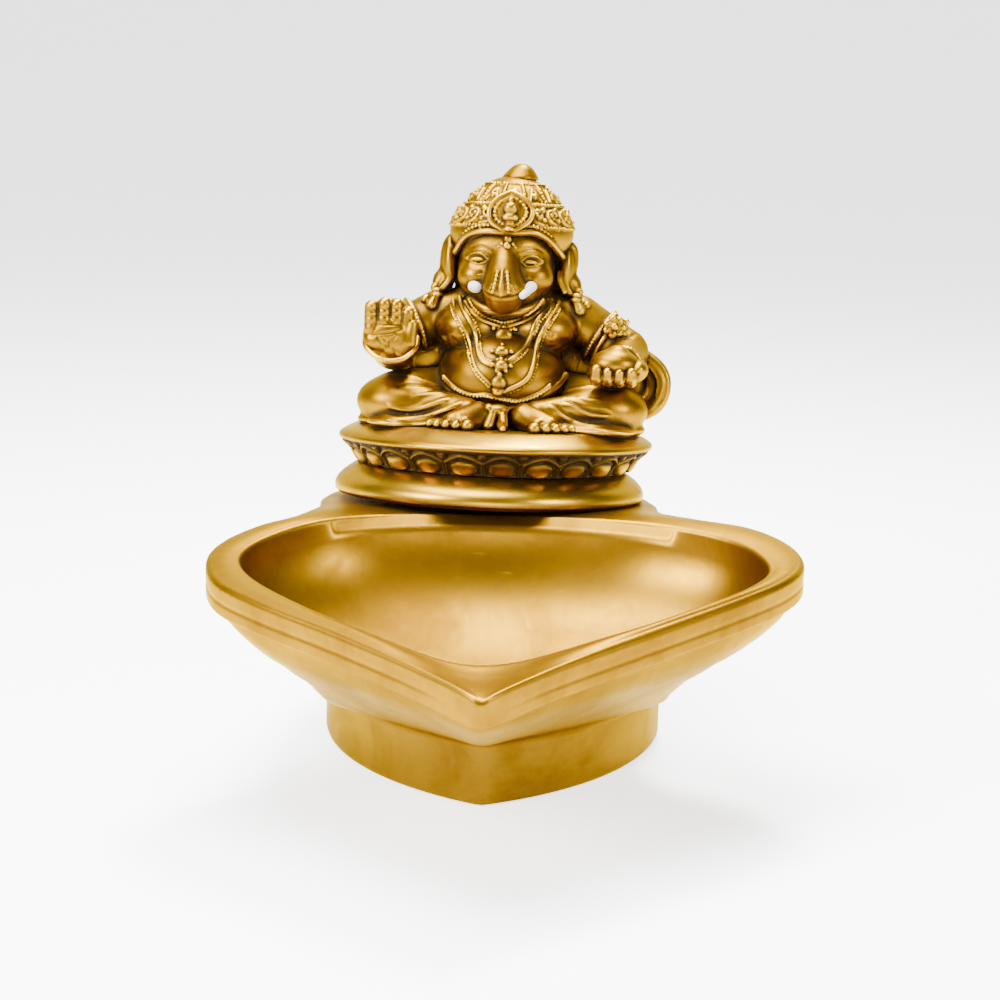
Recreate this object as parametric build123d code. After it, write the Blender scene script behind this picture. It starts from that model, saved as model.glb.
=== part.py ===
"""Brass oil lamp with a seated elephant-headed deity on a round lotus seat.

A leaf-shaped bowl stands on a leaf-shaped foot. At the back of the bowl a round shelf carries a
plain plinth, the lotus seat and the figure, drawn down by one screw from the hollow of the foot.
Millimetres, +Z up, origin on the table under the middle of the lamp, spout towards -Y.
"Left" and "right" are the figure's own, so its right hand is on the -X side.
"""
import math
import os

from build123d import *

# ---- driving sizes -----------------------------------------------------------------------------
LENGTH = 118.0          # spout tip to the back of the shelf
LEFT_HALF = 47.2        # middle line to the widest point of the rim, +X side
RIGHT_HALF = 41.2       # the same on the -X side: the casting is not quite even
RIM_HEIGHT = 37.8       # rim above the table, at the widest line
RIM_SLOPE = 8.0         # degrees the rim falls towards the spout
RIM_BAND = 5.0          # height of the plain band round the rim
RIM_STEP = 1.5          # how far the band stands out from the hull
RIM_TOP = 4.9           # width of the flat top of the rim
SHOULDER_ROUND = 17.6   # rounding of the broad sides
NOSE_ROUND = 3.0        # rounding of the spout
CAVITY_DEPTH = 20.5     # oil hollow, below the rim
CAVITY_NOSE = 26.0      # rounding of the hollow towards the spout
CAVITY_BACK = 19.0      # rounding of its two back corners
SHELF_RADIUS = 27.5     # round shelf that carries the plinth
SHELF_HEIGHT = 38.0     # top of the shelf's land, on the figure's axis
SHELF_THICK = 4.5       # brass left above the screw pocket
POCKET_RADIUS = 19.0    # room for the screw, inside the shelf
LAND_RADIUS = 23.6      # raised land that the plinth rests on
LAND_HEIGHT = 0.6       # gap seen under the edge of the plinth
BACK_LEAN = 6.0         # degrees the figure's axis leans back
SIDE_LEAN = 1.2         # degrees it leans towards its left
FOOT_LENGTH = 64.5      # leaf-shaped foot, corner to back
FOOT_WIDTH = 55.0
FOOT_SWAY = 1.4         # the foot's round back sits a little to +X
FOOT_HEIGHT = 7.0       # at the sides; the wall rises to the hull at the front
FOOT_WALL = 3.5
FOOT_HOLLOW = 12.0      # height of the hollow inside the foot
PLINTH_RADIUS = 26.0
PLINTH_HEIGHT = 5.1
PLINTH_NECK = 22.3      # radius where the plinth meets the lotus seat
LOTUS_RADIUS = 26.0
LOTUS_TOP = 12.0        # top of the lotus seat above the land
LOTUS_LIP = 1.0         # thickness of the seat's edge
LOTUS_BEVEL = 4.5       # width of the slope round the seat's top
LOTUS_SHIFT = 0.7       # the seat sits a little to the figure's left of the plinth
PETALS = 24
PETAL_THICK = 0.8
SCREW_RADIUS = 2.0      # M4
SCREW_CLEARANCE = 0.2
THREAD_CLEARANCE = 0.03
SCREW_HEAD_RADIUS = 3.6
SCREW_HEAD_HEIGHT = 2.6
SOCKET_RADIUS = 1.5
SOCKET_DEPTH = 1.6
WASHER_RADIUS = 5.0
WASHER_THICK = 0.9
THREAD_DEPTH = 5.0      # screw engagement in the lotus seat
FIGURE_X = 1.5          # middle line of the figure on the seat
FIGURE_SCALE = 1.0      # size of the figure on the seat
CORD = 0.55             # radius of the beaded chains
HEAD_TILT = 4.0         # degrees the head tips to its left

# ---- places worked out from them ---------------------------------------------------------------
TIP_Y = -LENGTH / 2
AXIS_Y = LENGTH / 2 - SHELF_RADIUS
WIDEST_Y = TIP_Y + 49.0
SHOULDER_Y = TIP_Y + 43.9
FOOT_TIP_Y = TIP_Y + 43.6
SEAT = Pos(0, AXIS_Y, SHELF_HEIGHT) * Rot(Y=SIDE_LEAN) * Rot(X=-BACK_LEAN)
PLINTH_TOP = PLINTH_HEIGHT
LIP_Z = LOTUS_TOP - 3.1  # underside of the seat's edge
MIN, MID = Align.MIN, Align.CENTER


# ---- shapes that more than one piece uses --------------------------------------------------------
def egg(centre, radii, turn=(0, 0, 0)):
    """An ellipsoid with its three radii, turned by three angles."""
    return Pos(*centre) * Rot(*turn) * scale(Sphere(1), by=radii)


def limb(start, start_radius, end, end_radius):
    """A tapered round limb with rounded ends, turned in one piece."""
    a, b = Vector(*start), Vector(*end)
    plane = Plane(origin=a, z_dir=b - a)
    length = (b - a).length
    lean = math.asin((start_radius - end_radius) / length)
    back, front = math.radians(-45) + lean / 2, math.radians(45) + lean / 2

    def on_ball(middle, radius, angle):
        return (radius * math.cos(angle), middle + radius * math.sin(angle))

    outline = [
        ThreePointArc((0, -start_radius), on_ball(0, start_radius, back), on_ball(0, start_radius, lean)),
        Line(on_ball(0, start_radius, lean), on_ball(length, end_radius, lean)),
        ThreePointArc(
            on_ball(length, end_radius, lean), on_ball(length, end_radius, front), (0, length + end_radius)
        ),
        Line((0, length + end_radius), (0, -start_radius)),
    ]
    return plane * revolve(Plane.XZ * make_face(outline), axis=Axis.Z)


def wire_along(points, radius):
    """A round wire through points."""
    line = Spline(*points)
    return sweep(Plane(origin=line @ 0, z_dir=line % 0) * Circle(radius), path=line)


# ---- bowl ----------------------------------------------------------------------------------------
def rounded_outline(corners):
    """A face from (x, y, rounding) corners, each corner rounded by its own radius."""
    points = [Vector(x, y) for x, y, _ in corners]
    edges = []
    ends = []
    for i, (x, y, radius) in enumerate(corners):
        here, before, after = points[i], points[i - 1], points[(i + 1) % len(points)]
        to_before, to_after = (before - here).normalized(), (after - here).normalized()
        half = math.radians(to_before.get_angle(to_after)) / 2
        back_off = radius / math.tan(half)
        bisector = (to_before + to_after).normalized()
        middle = here + bisector * (radius / math.sin(half) - radius)
        start, end = here + to_before * back_off, here + to_after * back_off
        ends.append((start, end))
        edges.append(ThreePointArc(start, middle, end))
    outline = []
    for i, edge in enumerate(edges):
        outline.append(edge)
        outline.append(Line(ends[i][1], ends[(i + 1) % len(ends)][0]))
    return make_face(outline)


def leaf_face(left, right, tip, widest, back, shelf, grow=1.0):
    """A broad leaf: flat back, rounded sides and a nose. Sizes are the outline's own extremes."""
    swell = SHOULDER_ROUND * grow * 0.414
    nose = NOSE_ROUND
    return rounded_outline(
        [
            (0, tip - 0.33 * nose, nose),
            (left + swell, widest, SHOULDER_ROUND * grow),
            (shelf, back, 3.0),
            (-shelf, back, 3.0),
            (-right - swell, widest, SHOULDER_ROUND * grow),
        ]
    )


def roof(drop):
    """Everything under the rim's slope and the shelf's slope, less a drop."""
    rim_rise = math.tan(math.radians(RIM_SLOPE))
    shelf_fall = math.tan(math.radians(BACK_LEAN))
    shelf_z = SHELF_HEIGHT - LAND_HEIGHT
    ridge_y = (shelf_z + shelf_fall * AXIS_Y - RIM_HEIGHT + rim_rise * WIDEST_Y) / (rim_rise + shelf_fall)
    ridge_z = RIM_HEIGHT + rim_rise * (ridge_y - WIDEST_Y)
    far = LENGTH
    profile = Polyline(
        (-far, RIM_HEIGHT - rim_rise * (far + WIDEST_Y) - drop),
        (ridge_y, ridge_z - drop),
        (far, shelf_z - shelf_fall * (far - AXIS_Y) - drop),
        (far, -1),
        (-far, -1),
        close=True,
    )
    return extrude(Plane.YZ * make_face(profile), amount=LENGTH, both=True)


def outline_solid(inset, height):
    """The leaf and the round shelf, straight up, inset all round."""
    corner = SHELF_RADIUS - 7.5 - inset
    leaf = leaf_face(LEFT_HALF - inset, RIGHT_HALF - inset, TIP_Y + inset, SHOULDER_Y, AXIS_Y - 9, corner)
    shelf = Pos(0, AXIS_Y) * Circle(SHELF_RADIUS - inset)
    return extrude(leaf + shelf, amount=height)


def hull():
    """The outside of the bowl under its band: a shallow boat that narrows to the foot."""
    base = FOOT_HEIGHT
    shelf = SHELF_RADIUS - 7.5
    levels = [
        (SHELF_HEIGHT + 6, 1.0, TIP_Y + RIM_STEP, SHOULDER_Y, AXIS_Y - 9, shelf, 1.0),
        (30.5, 0.95, TIP_Y + RIM_STEP + 0.3, SHOULDER_Y, AXIS_Y - 9, shelf, 1.0),
        (27.0, 0.88, TIP_Y + 2.8, SHOULDER_Y + 0.8, AXIS_Y - 8, shelf, 0.97),
        (24.0, 0.80, TIP_Y + 6.0, SHOULDER_Y + 2.2, AXIS_Y - 7, shelf, 0.94),
        (20.5, 0.72, TIP_Y + 13.0, SHOULDER_Y + 5.0, AXIS_Y - 5, shelf, 0.9),
        (17.0, 0.66, TIP_Y + 21.5, SHOULDER_Y + 9.5, AXIS_Y - 3, shelf, 0.86),
        (13.5, 0.63, TIP_Y + 32.0, SHOULDER_Y + 16, AXIS_Y, shelf - 1, 0.84),
        (10.5, 0.61, TIP_Y + 42.0, SHOULDER_Y + 24, AXIS_Y + 2, shelf - 2, 0.82),
        (base, 0.57, TIP_Y + 46.5, SHOULDER_Y + 29, AXIS_Y + 3, shelf - 3, 0.8),
    ]
    left, right = LEFT_HALF - RIM_STEP, RIGHT_HALF - RIM_STEP
    sections = []
    for z, share, tip, widest, back, corner, grow in levels:
        leaf = leaf_face(left * share, right * share, tip, widest, back, corner, grow)
        sections.append(Pos(0, 0, z) * leaf)
    boat = loft(sections, ruled=True)
    thick = SHELF_RADIUS - RIM_STEP
    pillar = Cone(thick + 0.4, thick, SHELF_HEIGHT + 6 - base, align=(MID, MID, MIN))
    pillar = Pos(0, AXIS_Y, base) * pillar
    return boat + pillar


def cavity():
    """The oil hollow: a smooth bowl under the rim's slope."""
    swell = (SHOULDER_ROUND - RIM_TOP) * 0.414
    middle = SHOULDER_Y - 1.5
    rim = Pos(0, WIDEST_Y, RIM_HEIGHT) * Rot(X=RIM_SLOPE)
    corners = [
        (0, TIP_Y + 2 * RIM_TOP - 3.2, CAVITY_NOSE),
        (LEFT_HALF - RIM_TOP + swell, SHOULDER_Y, SHOULDER_ROUND - RIM_TOP),
        (SHELF_RADIUS + 1.5, AXIS_Y - PLINTH_RADIUS + 1.4, CAVITY_BACK),
        (-SHELF_RADIUS - 0.5, AXIS_Y - PLINTH_RADIUS + 1.4, CAVITY_BACK),
        (-RIGHT_HALF + RIM_TOP - swell, SHOULDER_Y, SHOULDER_ROUND - RIM_TOP),
    ]
    sections = []
    for depth in (-0.3, 0.0, 0.2, 0.4, 0.58, 0.73, 0.85, 0.94, 0.99):
        share = 1.01 if depth < 0 else (1 - depth**2.1) ** (1 / 2.1)
        drawn = [(x * share, middle + (y - middle) * share - WIDEST_Y, r * share) for x, y, r in corners]
        sections.append(rim * Pos(0, 0, -CAVITY_DEPTH * depth) * rounded_outline(drawn))
    return loft(sections, ruled=True)


def spout_channel():
    """The shallow pouring groove from the hollow to the nose."""
    radius, depth = 15.0, 1.7
    fall = math.tan(math.radians(RIM_SLOPE)) * (WIDEST_Y - TIP_Y)
    centre = Pos(0, TIP_Y, RIM_HEIGHT - fall + radius - depth)
    return centre * Rot(X=RIM_SLOPE) * Rot(X=90) * Cylinder(radius, 40)


def foot_face(inset=0.0):
    """The leaf outline of the foot: a round back and two bowed sides that meet at a corner."""
    half = FOOT_WIDTH / 2
    waist = FOOT_TIP_Y + FOOT_LENGTH - half
    corner = (1.3, FOOT_TIP_Y + 0.45)
    right, left, bow = FOOT_SWAY - half, FOOT_SWAY + half, half * 0.565
    side_y = FOOT_TIP_Y + 11.2
    arcs = [
        ThreePointArc((left, waist), (FOOT_SWAY, waist + half), (right, waist)),
        ThreePointArc((left, waist), (FOOT_SWAY * 0.5 + bow, side_y), corner),
        ThreePointArc((right, waist), (FOOT_SWAY * 0.5 - bow, side_y), (-corner[0], corner[1])),
        ThreePointArc(corner, (0, FOOT_TIP_Y), (-corner[0], corner[1])),
    ]
    face = make_face(arcs)
    return offset(face, -inset) if inset else face


def on_seat(radius, bottom, top):
    """A round solid on the figure's leaning axis, in lamp coordinates."""
    return SEAT * Pos(0, 0, bottom) * Cylinder(radius, top - bottom, align=(MID, MID, MIN))


def bowl_outside():
    """The bowl before it is hollowed."""
    band = outline_solid(0, SHELF_HEIGHT + 12) & roof(0)
    band -= roof(RIM_BAND)
    return band + (hull() & roof(RIM_BAND / 2))


def make_bowl(outside):
    shape = outside + on_seat(LAND_RADIUS, -3, 0)
    shape -= cavity()
    shape -= spout_channel()
    shape -= extrude(foot_face(FOOT_WALL), amount=FOOT_HOLLOW)
    shape -= on_seat(POCKET_RADIUS, -SHELF_HEIGHT, -SHELF_THICK)
    shape -= on_seat(SCREW_RADIUS + SCREW_CLEARANCE, -SHELF_THICK - 1, 1)
    return shape


def make_foot(outside):
    wall = extrude(foot_face() - foot_face(FOOT_WALL), amount=FOOT_HEIGHT + 4)
    return wall - outside


# ---- plinth, lotus seat and screw: turned shapes, in the seat's own coordinates -----------------
def turned(points):
    """A solid turned round the seat's axis from (radius, height) points."""
    return revolve(Plane.XZ * make_face(Polyline(*points, close=True)), axis=Axis.Z)


def make_plinth():
    bore = SCREW_RADIUS + SCREW_CLEARANCE
    side = Spline(
        (PLINTH_RADIUS - 0.8, 0),
        (PLINTH_RADIUS, 1.5),
        (PLINTH_RADIUS - 1.4, 3.8),
        (PLINTH_NECK, PLINTH_TOP),
    )
    rest = Polyline((PLINTH_NECK, PLINTH_TOP), (bore, PLINTH_TOP), (bore, 0), (PLINTH_RADIUS - 0.8, 0))
    return revolve(Plane.XZ * make_face([side, rest]), axis=Axis.Z)


def make_lotus_seat():
    shape = Pos(LOTUS_SHIFT, 0) * turned(
        [
            (0, PLINTH_TOP),
            (PLINTH_NECK - 0.4, PLINTH_TOP),
            (LOTUS_RADIUS - 1.4, LIP_Z),
            (LOTUS_RADIUS, LIP_Z),
            (LOTUS_RADIUS, LIP_Z + LOTUS_LIP),
            (LOTUS_RADIUS - LOTUS_BEVEL, LOTUS_TOP),
            (0, LOTUS_TOP),
        ]
    )
    return shape - Cylinder(SCREW_RADIUS + THREAD_CLEARANCE, 2 * (PLINTH_TOP + THREAD_DEPTH))


def make_petals(seat):
    """A thin sloping band with a row of petals standing from it."""
    low, high = PLINTH_TOP + 0.3, LIP_Z
    band = Pos(LOTUS_SHIFT, 0) * turned(
        [
            (PLINTH_NECK - 1.2, low),
            (PLINTH_NECK, low),
            (LOTUS_RADIUS - 1.1, high),
            (LOTUS_RADIUS - 2.6, high),
        ]
    )
    reach = (PLINTH_NECK + LOTUS_RADIUS) / 2 - 0.7
    for i in range(PETALS):
        turn = Pos(LOTUS_SHIFT, 0) * Rot(Z=i * 360 / PETALS)
        band += turn * egg((reach, 0, (low + high) / 2), (PETAL_THICK, 2.7, 1.7), (0, 38, 0))
    band &= Pos(LOTUS_SHIFT, 0, low) * Cylinder(LOTUS_RADIUS, high - low, align=(MID, MID, MIN))
    return band


def make_screw():
    head_top = -SHELF_THICK - WASHER_THICK
    shank = Pos(0, 0, head_top) * Cylinder(
        SCREW_RADIUS, PLINTH_TOP + THREAD_DEPTH - 0.5 - head_top, align=(MID, MID, MIN)
    )
    head = Pos(0, 0, head_top - SCREW_HEAD_HEIGHT) * Cylinder(
        SCREW_HEAD_RADIUS, SCREW_HEAD_HEIGHT, align=(MID, MID, MIN)
    )
    socket = Pos(0, 0, head_top - SCREW_HEAD_HEIGHT) * extrude(
        RegularPolygon(SOCKET_RADIUS, 6), amount=SOCKET_DEPTH
    )
    return shank + head - socket


def make_washer():
    ring = Cylinder(WASHER_RADIUS, WASHER_THICK, align=(MID, MID, MIN))
    hole = Cylinder(SCREW_RADIUS + SCREW_CLEARANCE, 3 * WASHER_THICK)
    return Pos(0, 0, -SHELF_THICK - WASHER_THICK) * (ring - hole)


# ---- figure: sections of one casting, in the seat's own coordinates ------------------------------
def hand_up():
    """The raised right hand, palm forward."""
    shape = egg((-17.2, -14, 26.0), (4.1, 1.7, 3.9))
    for i, (lean, tip) in enumerate(((-0.5, 30.6), (-0.2, 31.3), (0.1, 31.3), (0.5, 30.6))):
        x = -20.2 + 2.05 * i
        shape += limb((x, -14, 27.5), 1.15, (x + lean, -14.3, tip), 1.0)
    return shape + limb((-14.4, -14.4, 25.2), 1.3, (-13.3, -14.8, 28.3), 0.95)


def hand_round_sweet():
    """The left hand, palm up, with its fingers curled over the front of the sweet."""
    shape = limb((16.9, -11.8, 21.6), 1.9, (21.5, -11.5, 21.6), 1.9)
    for i in range(4):
        x = 15.9 + 2.1 * i
        shape += limb((x, -14.3, 20.9), 1.1, (x + 0.1, -15.0, 23.2), 0.95)
    return shape


def bare_foot(side, middle):
    """A foot pointing outwards along the seat, with five toes. Side is -1 for the right."""
    shape = limb((middle + side * 3.0, -13.4, 14.0), 1.9, (middle + side * 6.6, -17.0, 13.5), 1.7)
    for i in range(5):
        x = middle + side * (5.2 + 1.75 * i)
        size = 1.05 - 0.09 * i
        start = (middle + side * (6.2 + 0.8 * i), -16.6 + 0.3 * i, 13.3)
        shape += limb(start, size + 0.1, (x, -19.0 + 0.35 * i, LOTUS_TOP + size * 0.9), size)
    return shape


def crossed_leg(side, middle):
    """A folded leg under its cloth: a broad thigh and the shin laid across."""
    thigh = limb((middle + side * 5.0, 0.5, 16.4), 4.4, (middle + side * 15.8, -4.2, 15.8), 4.7)
    shin = limb((middle + side * 15.4, -8.0, 15.2), 4.3, (middle + side * 5.2, -12.4, 14.2), 2.7)
    return thigh + shin


def tilted(shape):
    """Head shapes, tipped a little about the neck."""
    neck = Pos(FIGURE_X, -2, 32)
    return neck * Rot(Y=HEAD_TILT) * neck.inverse() * shape


def figure_pieces():
    """Every section of the figure; each is later cut back to the faces of those before it."""
    mid = FIGURE_X
    body = [
        ("belly", egg((mid, -3.6, 19.6), (10.9, 9.7, 8.0))),
        ("torso", egg((mid + 0.2, 0.8, 27.0), (11.6, 7.4, 8.6))),
        ("head", tilted(egg((1.1, -1.0, 37.6), (8.0, 7.2, 7.4)))),
        ("right_leg", crossed_leg(-1, mid)),
        ("left_leg", crossed_leg(1, mid)),
        ("right_upper_arm", limb((-10.4, 1.4, 30.0), 4.4, (-16.2, -2.0, 24.6), 3.5)),
        ("left_upper_arm", limb((14.6, 1.4, 30.2), 4.6, (22.4, 0.0, 25.0), 3.5)),
        ("right_forearm", limb((-16.6, -4.0, 23.8), 3.1, (-17.0, -12.2, 22.9), 2.3)),
        ("left_forearm", limb((22.6, -1.6, 23.8), 3.1, (20.2, -9.6, 22.1), 2.3)),
        ("right_foot", bare_foot(-1, mid)),
        ("left_foot", bare_foot(1, mid)),
        ("raised_hand", hand_up()),
        ("resting_hand", hand_round_sweet()),
        ("sweet_ball", egg((19.1, -12.0, 24.3), (4.2, 3.0, 3.0))),
        ("waist_sash", limb((mid - 0.4, -12.6, 14.9), 1.8, (mid, -19.2, 12.9), 0.9)),
        (
            "scarf",
            wire_along([(23.4, 4.2, 27.6), (27.0, 3.2, 24.0), (28.0, 1.2, 19.8), (25.4, 0.6, 16.2)], 1.5),
        ),
    ]
    crown = [
        ("crown_dome", tilted(egg((1.2, 0.4, 45.3), (9.6, 8.5, 7.2)))),
        ("trunk", tilted(limb((0.7, -7.6, 39.4), 1.7, (0.9, -10.0, 33.6), 2.6))),
        ("right_ear", egg((-8.3, 2.0, 38.8), (3.2, 1.5, 5.4), (0, 8, 0))),
        ("left_ear", egg((11.6, 2.0, 38.4), (3.2, 1.5, 5.2), (0, -8, 0))),
        ("crown_band", tilted(wire_along([(-7.6, 0.8, 40.2), (-5.6, -5.4, 42.0), (0.8, -8.3, 43.7),
                                          (7.3, -5.4, 41.8), (9.5, 0.8, 39.8)], 1.15))),
        ("crown_crest", tilted(egg((0.6, -8.0, 46.9), (3.7, 1.6, 3.7), (-14, 0, 0)))),
        ("finial", tilted(egg((1.4, 1, 52.9), (2.9, 2.9, 2.0)))),
        ("forehead_drop", tilted(egg((0.9, -8.0, 41.8), (0.9, 0.9, 1.3)))),
        ("right_tusk", tilted(limb((-2.8, -7.4, 35.4), 0.95, (-3.7, -10.0, 34.6), 0.7))),
        ("left_tusk", tilted(limb((5.4, -7.4, 35.2), 0.95, (4.6, -10.9, 34.0), 0.6))),
        ("right_eye", tilted(limb((-4.4, -6.9, 38.9), 0.7, (-2.8, -7.4, 38.9), 0.75))),
        ("left_eye", tilted(limb((6.2, -6.8, 38.7), 0.7, (4.4, -7.4, 38.7), 0.75))),
        ("right_earring", limb((-9.9, -0.6, 33.8), 0.6, (-10.3, -2.4, 32.0), 1.2)),
        ("left_earring", limb((13.3, -0.6, 33.8), 0.6, (13.8, -2.6, 32.0), 1.2)),
    ]
    jewels = [
        ("pendant_chain", limb((1.1, -12.9, 21.9), 1.7, (0.9, -13.4, 19.3), 1.4)
            + limb((1.3, -9.6, 27.2), 1.3, (1.1, -12.6, 22.4), 1.2)),
        ("collar_necklace", wire_along([(-4.9, -4.4, 31.9), (-2.4, -7.9, 29.4), (1.6, -8.9, 28.3),
                                        (5.8, -7.9, 29.7), (8.2, -4.4, 32.4)], 0.8)),
        ("right_neck_cord", wire_along([(-6.6, -3.8, 31.2), (-8.2, -6.6, 27.0), (-5.8, -10.6, 21.8),
                                        (-1.4, -12.9, 17.8)], CORD)),
        ("left_neck_cord", wire_along([(9.6, -3.6, 31.4), (10.9, -6.3, 27.0), (8.2, -10.6, 21.8),
                                       (3.6, -12.9, 17.8)], CORD)),
        ("belly_chain", wire_along([(-5.6, -10.9, 17.0), (1.4, -12.8, 15.9), (8.4, -10.9, 17.0)], CORD)),
        ("right_bracelet", Pos(-17.0, -11.6, 22.9) * Rot(X=75) * Torus(2.5, 0.7)),
        ("left_bracelet", Pos(20.6, -8.2, 22.3) * Rot(X=80) * Torus(2.5, 0.7)),
        ("right_armlet", Plane((-13.4, -0.4, 27.2), z_dir=(-0.66, -0.39, -0.64)) * Torus(4.0, 0.6)),
        ("left_armlet", Plane((19.2, 0.6, 27.2), z_dir=(0.82, -0.15, -0.55)) * Torus(4.1, 0.6)),
        ("armlet_rosette", limb((19.3, -3.3, 28.3), 1.6, (19.7, -3.9, 28.5), 1.4)),
    ]
    return body + crown + jewels


def biggest(shape):
    """The main body of a cut shape, without slivers."""
    return max(shape.solids(), key=lambda solid: solid.volume)


def reach(shape):
    """The lowest and highest corner of a shape, taken from its own surface."""
    points = shape.tessellate(0.3)[0]
    return [(min(getattr(p, axis) for p in points), max(getattr(p, axis) for p in points)) for axis in "XYZ"]


def near(one, other, gap=0.3):
    """Whether two reaches come within a gap of each other."""
    return all(a[0] <= b[1] + gap and b[0] <= a[1] + gap for a, b in zip(one, other))


def fit_together(seat, pieces):
    """Cut every piece back to the faces of the pieces before it, so that none overlap."""
    centre = Pos(FIGURE_X, 0, LOTUS_TOP)
    earlier = [(seat, reach(seat))]
    fitted = [("lotus_seat", seat)]
    for name, whole in pieces:
        if FIGURE_SCALE != 1:
            whole = centre * scale(biggest(centre.inverse() * whole), by=FIGURE_SCALE)
        own = reach(whole)
        cut = whole
        for other, others_reach in earlier:
            if near(own, others_reach):
                cut = cut - other
        earlier.append((whole, own))
        fitted.append((name, biggest(cut)))
    return fitted


def make_all():
    outside = bowl_outside()
    nodes = [("bowl", make_bowl(outside)), ("foot", make_foot(outside))]
    seat = make_lotus_seat()
    petals = make_petals(seat)
    seat -= petals
    seated = [("plinth_ring", make_plinth()), ("lotus_petals", petals)]
    seated += [("clamp_screw", make_screw()), ("screw_washer", make_washer())]
    seated += fit_together(seat, figure_pieces())
    nodes += [(name, SEAT * shape) for name, shape in seated]
    middle = outside.bounding_box().center()
    to_origin = Pos(-middle.X, -middle.Y, 0)
    return [(name, to_origin * shape) for name, shape in nodes]


def main():
    os.makedirs("parts", exist_ok=True)
    for name, shape in make_all():
        export_step(shape, f"parts/{name}.step")
        print(name, len(shape.solids()), round(shape.volume, 1))


main()
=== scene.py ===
import bpy, math
import numpy as np
import openvdb
from mathutils import Vector, Matrix


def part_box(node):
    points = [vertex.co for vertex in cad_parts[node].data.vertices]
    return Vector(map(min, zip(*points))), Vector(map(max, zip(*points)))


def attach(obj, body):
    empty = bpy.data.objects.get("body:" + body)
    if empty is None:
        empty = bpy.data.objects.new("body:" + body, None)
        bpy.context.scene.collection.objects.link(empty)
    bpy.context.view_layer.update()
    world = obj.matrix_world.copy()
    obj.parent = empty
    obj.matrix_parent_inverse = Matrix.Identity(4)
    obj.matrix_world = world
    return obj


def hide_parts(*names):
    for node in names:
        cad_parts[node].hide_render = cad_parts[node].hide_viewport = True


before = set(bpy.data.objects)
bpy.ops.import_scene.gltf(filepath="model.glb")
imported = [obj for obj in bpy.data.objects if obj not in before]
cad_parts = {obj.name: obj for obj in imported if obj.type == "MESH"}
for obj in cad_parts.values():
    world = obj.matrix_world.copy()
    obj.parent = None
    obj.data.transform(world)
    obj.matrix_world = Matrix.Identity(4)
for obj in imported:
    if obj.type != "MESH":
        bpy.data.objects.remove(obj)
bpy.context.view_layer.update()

# ================================================================ studio
# A soft box overhead, a key and a fill from the front, a window light over the hollow and a low strip, with
# a faint glow from the surroundings that fades upwards.
MM = 0.001
sc = bpy.context.scene
X0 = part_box("bowl")[1].x / MM - 47.5        # middle line of the spout and shelf, in row-frame mm

cam_data = bpy.data.cameras.new("camera")
cam_data.lens = 82.08
cam_data.sensor_width = 36
cam_data.clip_start = 0.01
cam = bpy.data.objects.new("camera", cam_data)
sc.collection.objects.link(cam)
cam.matrix_world = (
    Matrix.Translation(Vector((1.85 + X0, -340.36, 116.23)) * MM)
    @ Matrix.Rotation(math.radians(90 - 12), 4, "X")
    @ Matrix.Rotation(math.radians(1.3), 4, "Z")
)
sc.camera = cam


def area_light(name, where, aim, size, power, size_y=None):
    """A soft rectangular light, in millimetres, turned towards a point."""
    data = bpy.data.lights.new(name, "AREA")
    data.shape = "RECTANGLE"
    data.size = size * MM
    data.size_y = (size_y or size) * MM
    data.energy = power
    ob = bpy.data.objects.new(name, data)
    ob.location = Vector(where) * MM
    ob.rotation_euler = ((Vector(aim) - Vector(where)).to_track_quat("-Z", "Y")).to_euler()
    sc.collection.objects.link(ob)
    return ob


area_light("overhead soft box", (-60, -20, 380), (0, 0, 40), 230, 6.0)
area_light("front left key", (-330, -240, 280), (0, 0, 45), 170, 6.5)
area_light("front right fill", (330, -240, 230), (0, 0, 45), 150, 2.6)
area_light("window for the hollow", (60, 200, 420), (0, -20, 25), 110, 7.0)
area_light("low front strip", (30, -420, 50), (0, 0, 50), 300, 0.8, size_y=50)

world = bpy.data.worlds.new("studio")
sc.world = world
world.use_nodes = True
sky = world.node_tree
where = sky.nodes.new("ShaderNodeTexCoord")
height = sky.nodes.new("ShaderNodeSeparateXYZ")
glow = sky.nodes.new("ShaderNodeMapRange")
glow.interpolation_type = "SMOOTHSTEP"
for key, value in (("From Min", 0.0), ("From Max", 0.5), ("To Min", 0.8), ("To Max", 0.10)):
    glow.inputs[key].default_value = value
sky.links.new(where.outputs["Generated"], height.inputs[0])
sky.links.new(height.outputs[2], glow.inputs["Value"])
sky.links.new(glow.outputs[0], sky.nodes["Background"].inputs[1])
sky.nodes["Background"].inputs[0].default_value = (1, 1, 1, 1)


# ================================================================ bowl
# Leaf-shaped brass casting, 118 mm long: broad smooth hollow, thick band round the rim, a pouring nose at
# the front and a round shelf at the back. Satin outside, drawn finish inside, brown rubbed marks on the band.
# ---------------------------------------------------------------- meshes
def mesh_object(name, verts, faces):
    """A named smooth mesh from millimetre points and a face list."""
    me = bpy.data.meshes.new(name)
    me.from_pydata([tuple(v) for v in np.asarray(verts) * MM], [], [tuple(f) for f in faces])
    me.polygons.foreach_set("use_smooth", [True] * len(me.polygons))
    me.update()
    ob = bpy.data.objects.new(name, me)
    sc.collection.objects.link(ob)
    return ob


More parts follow.
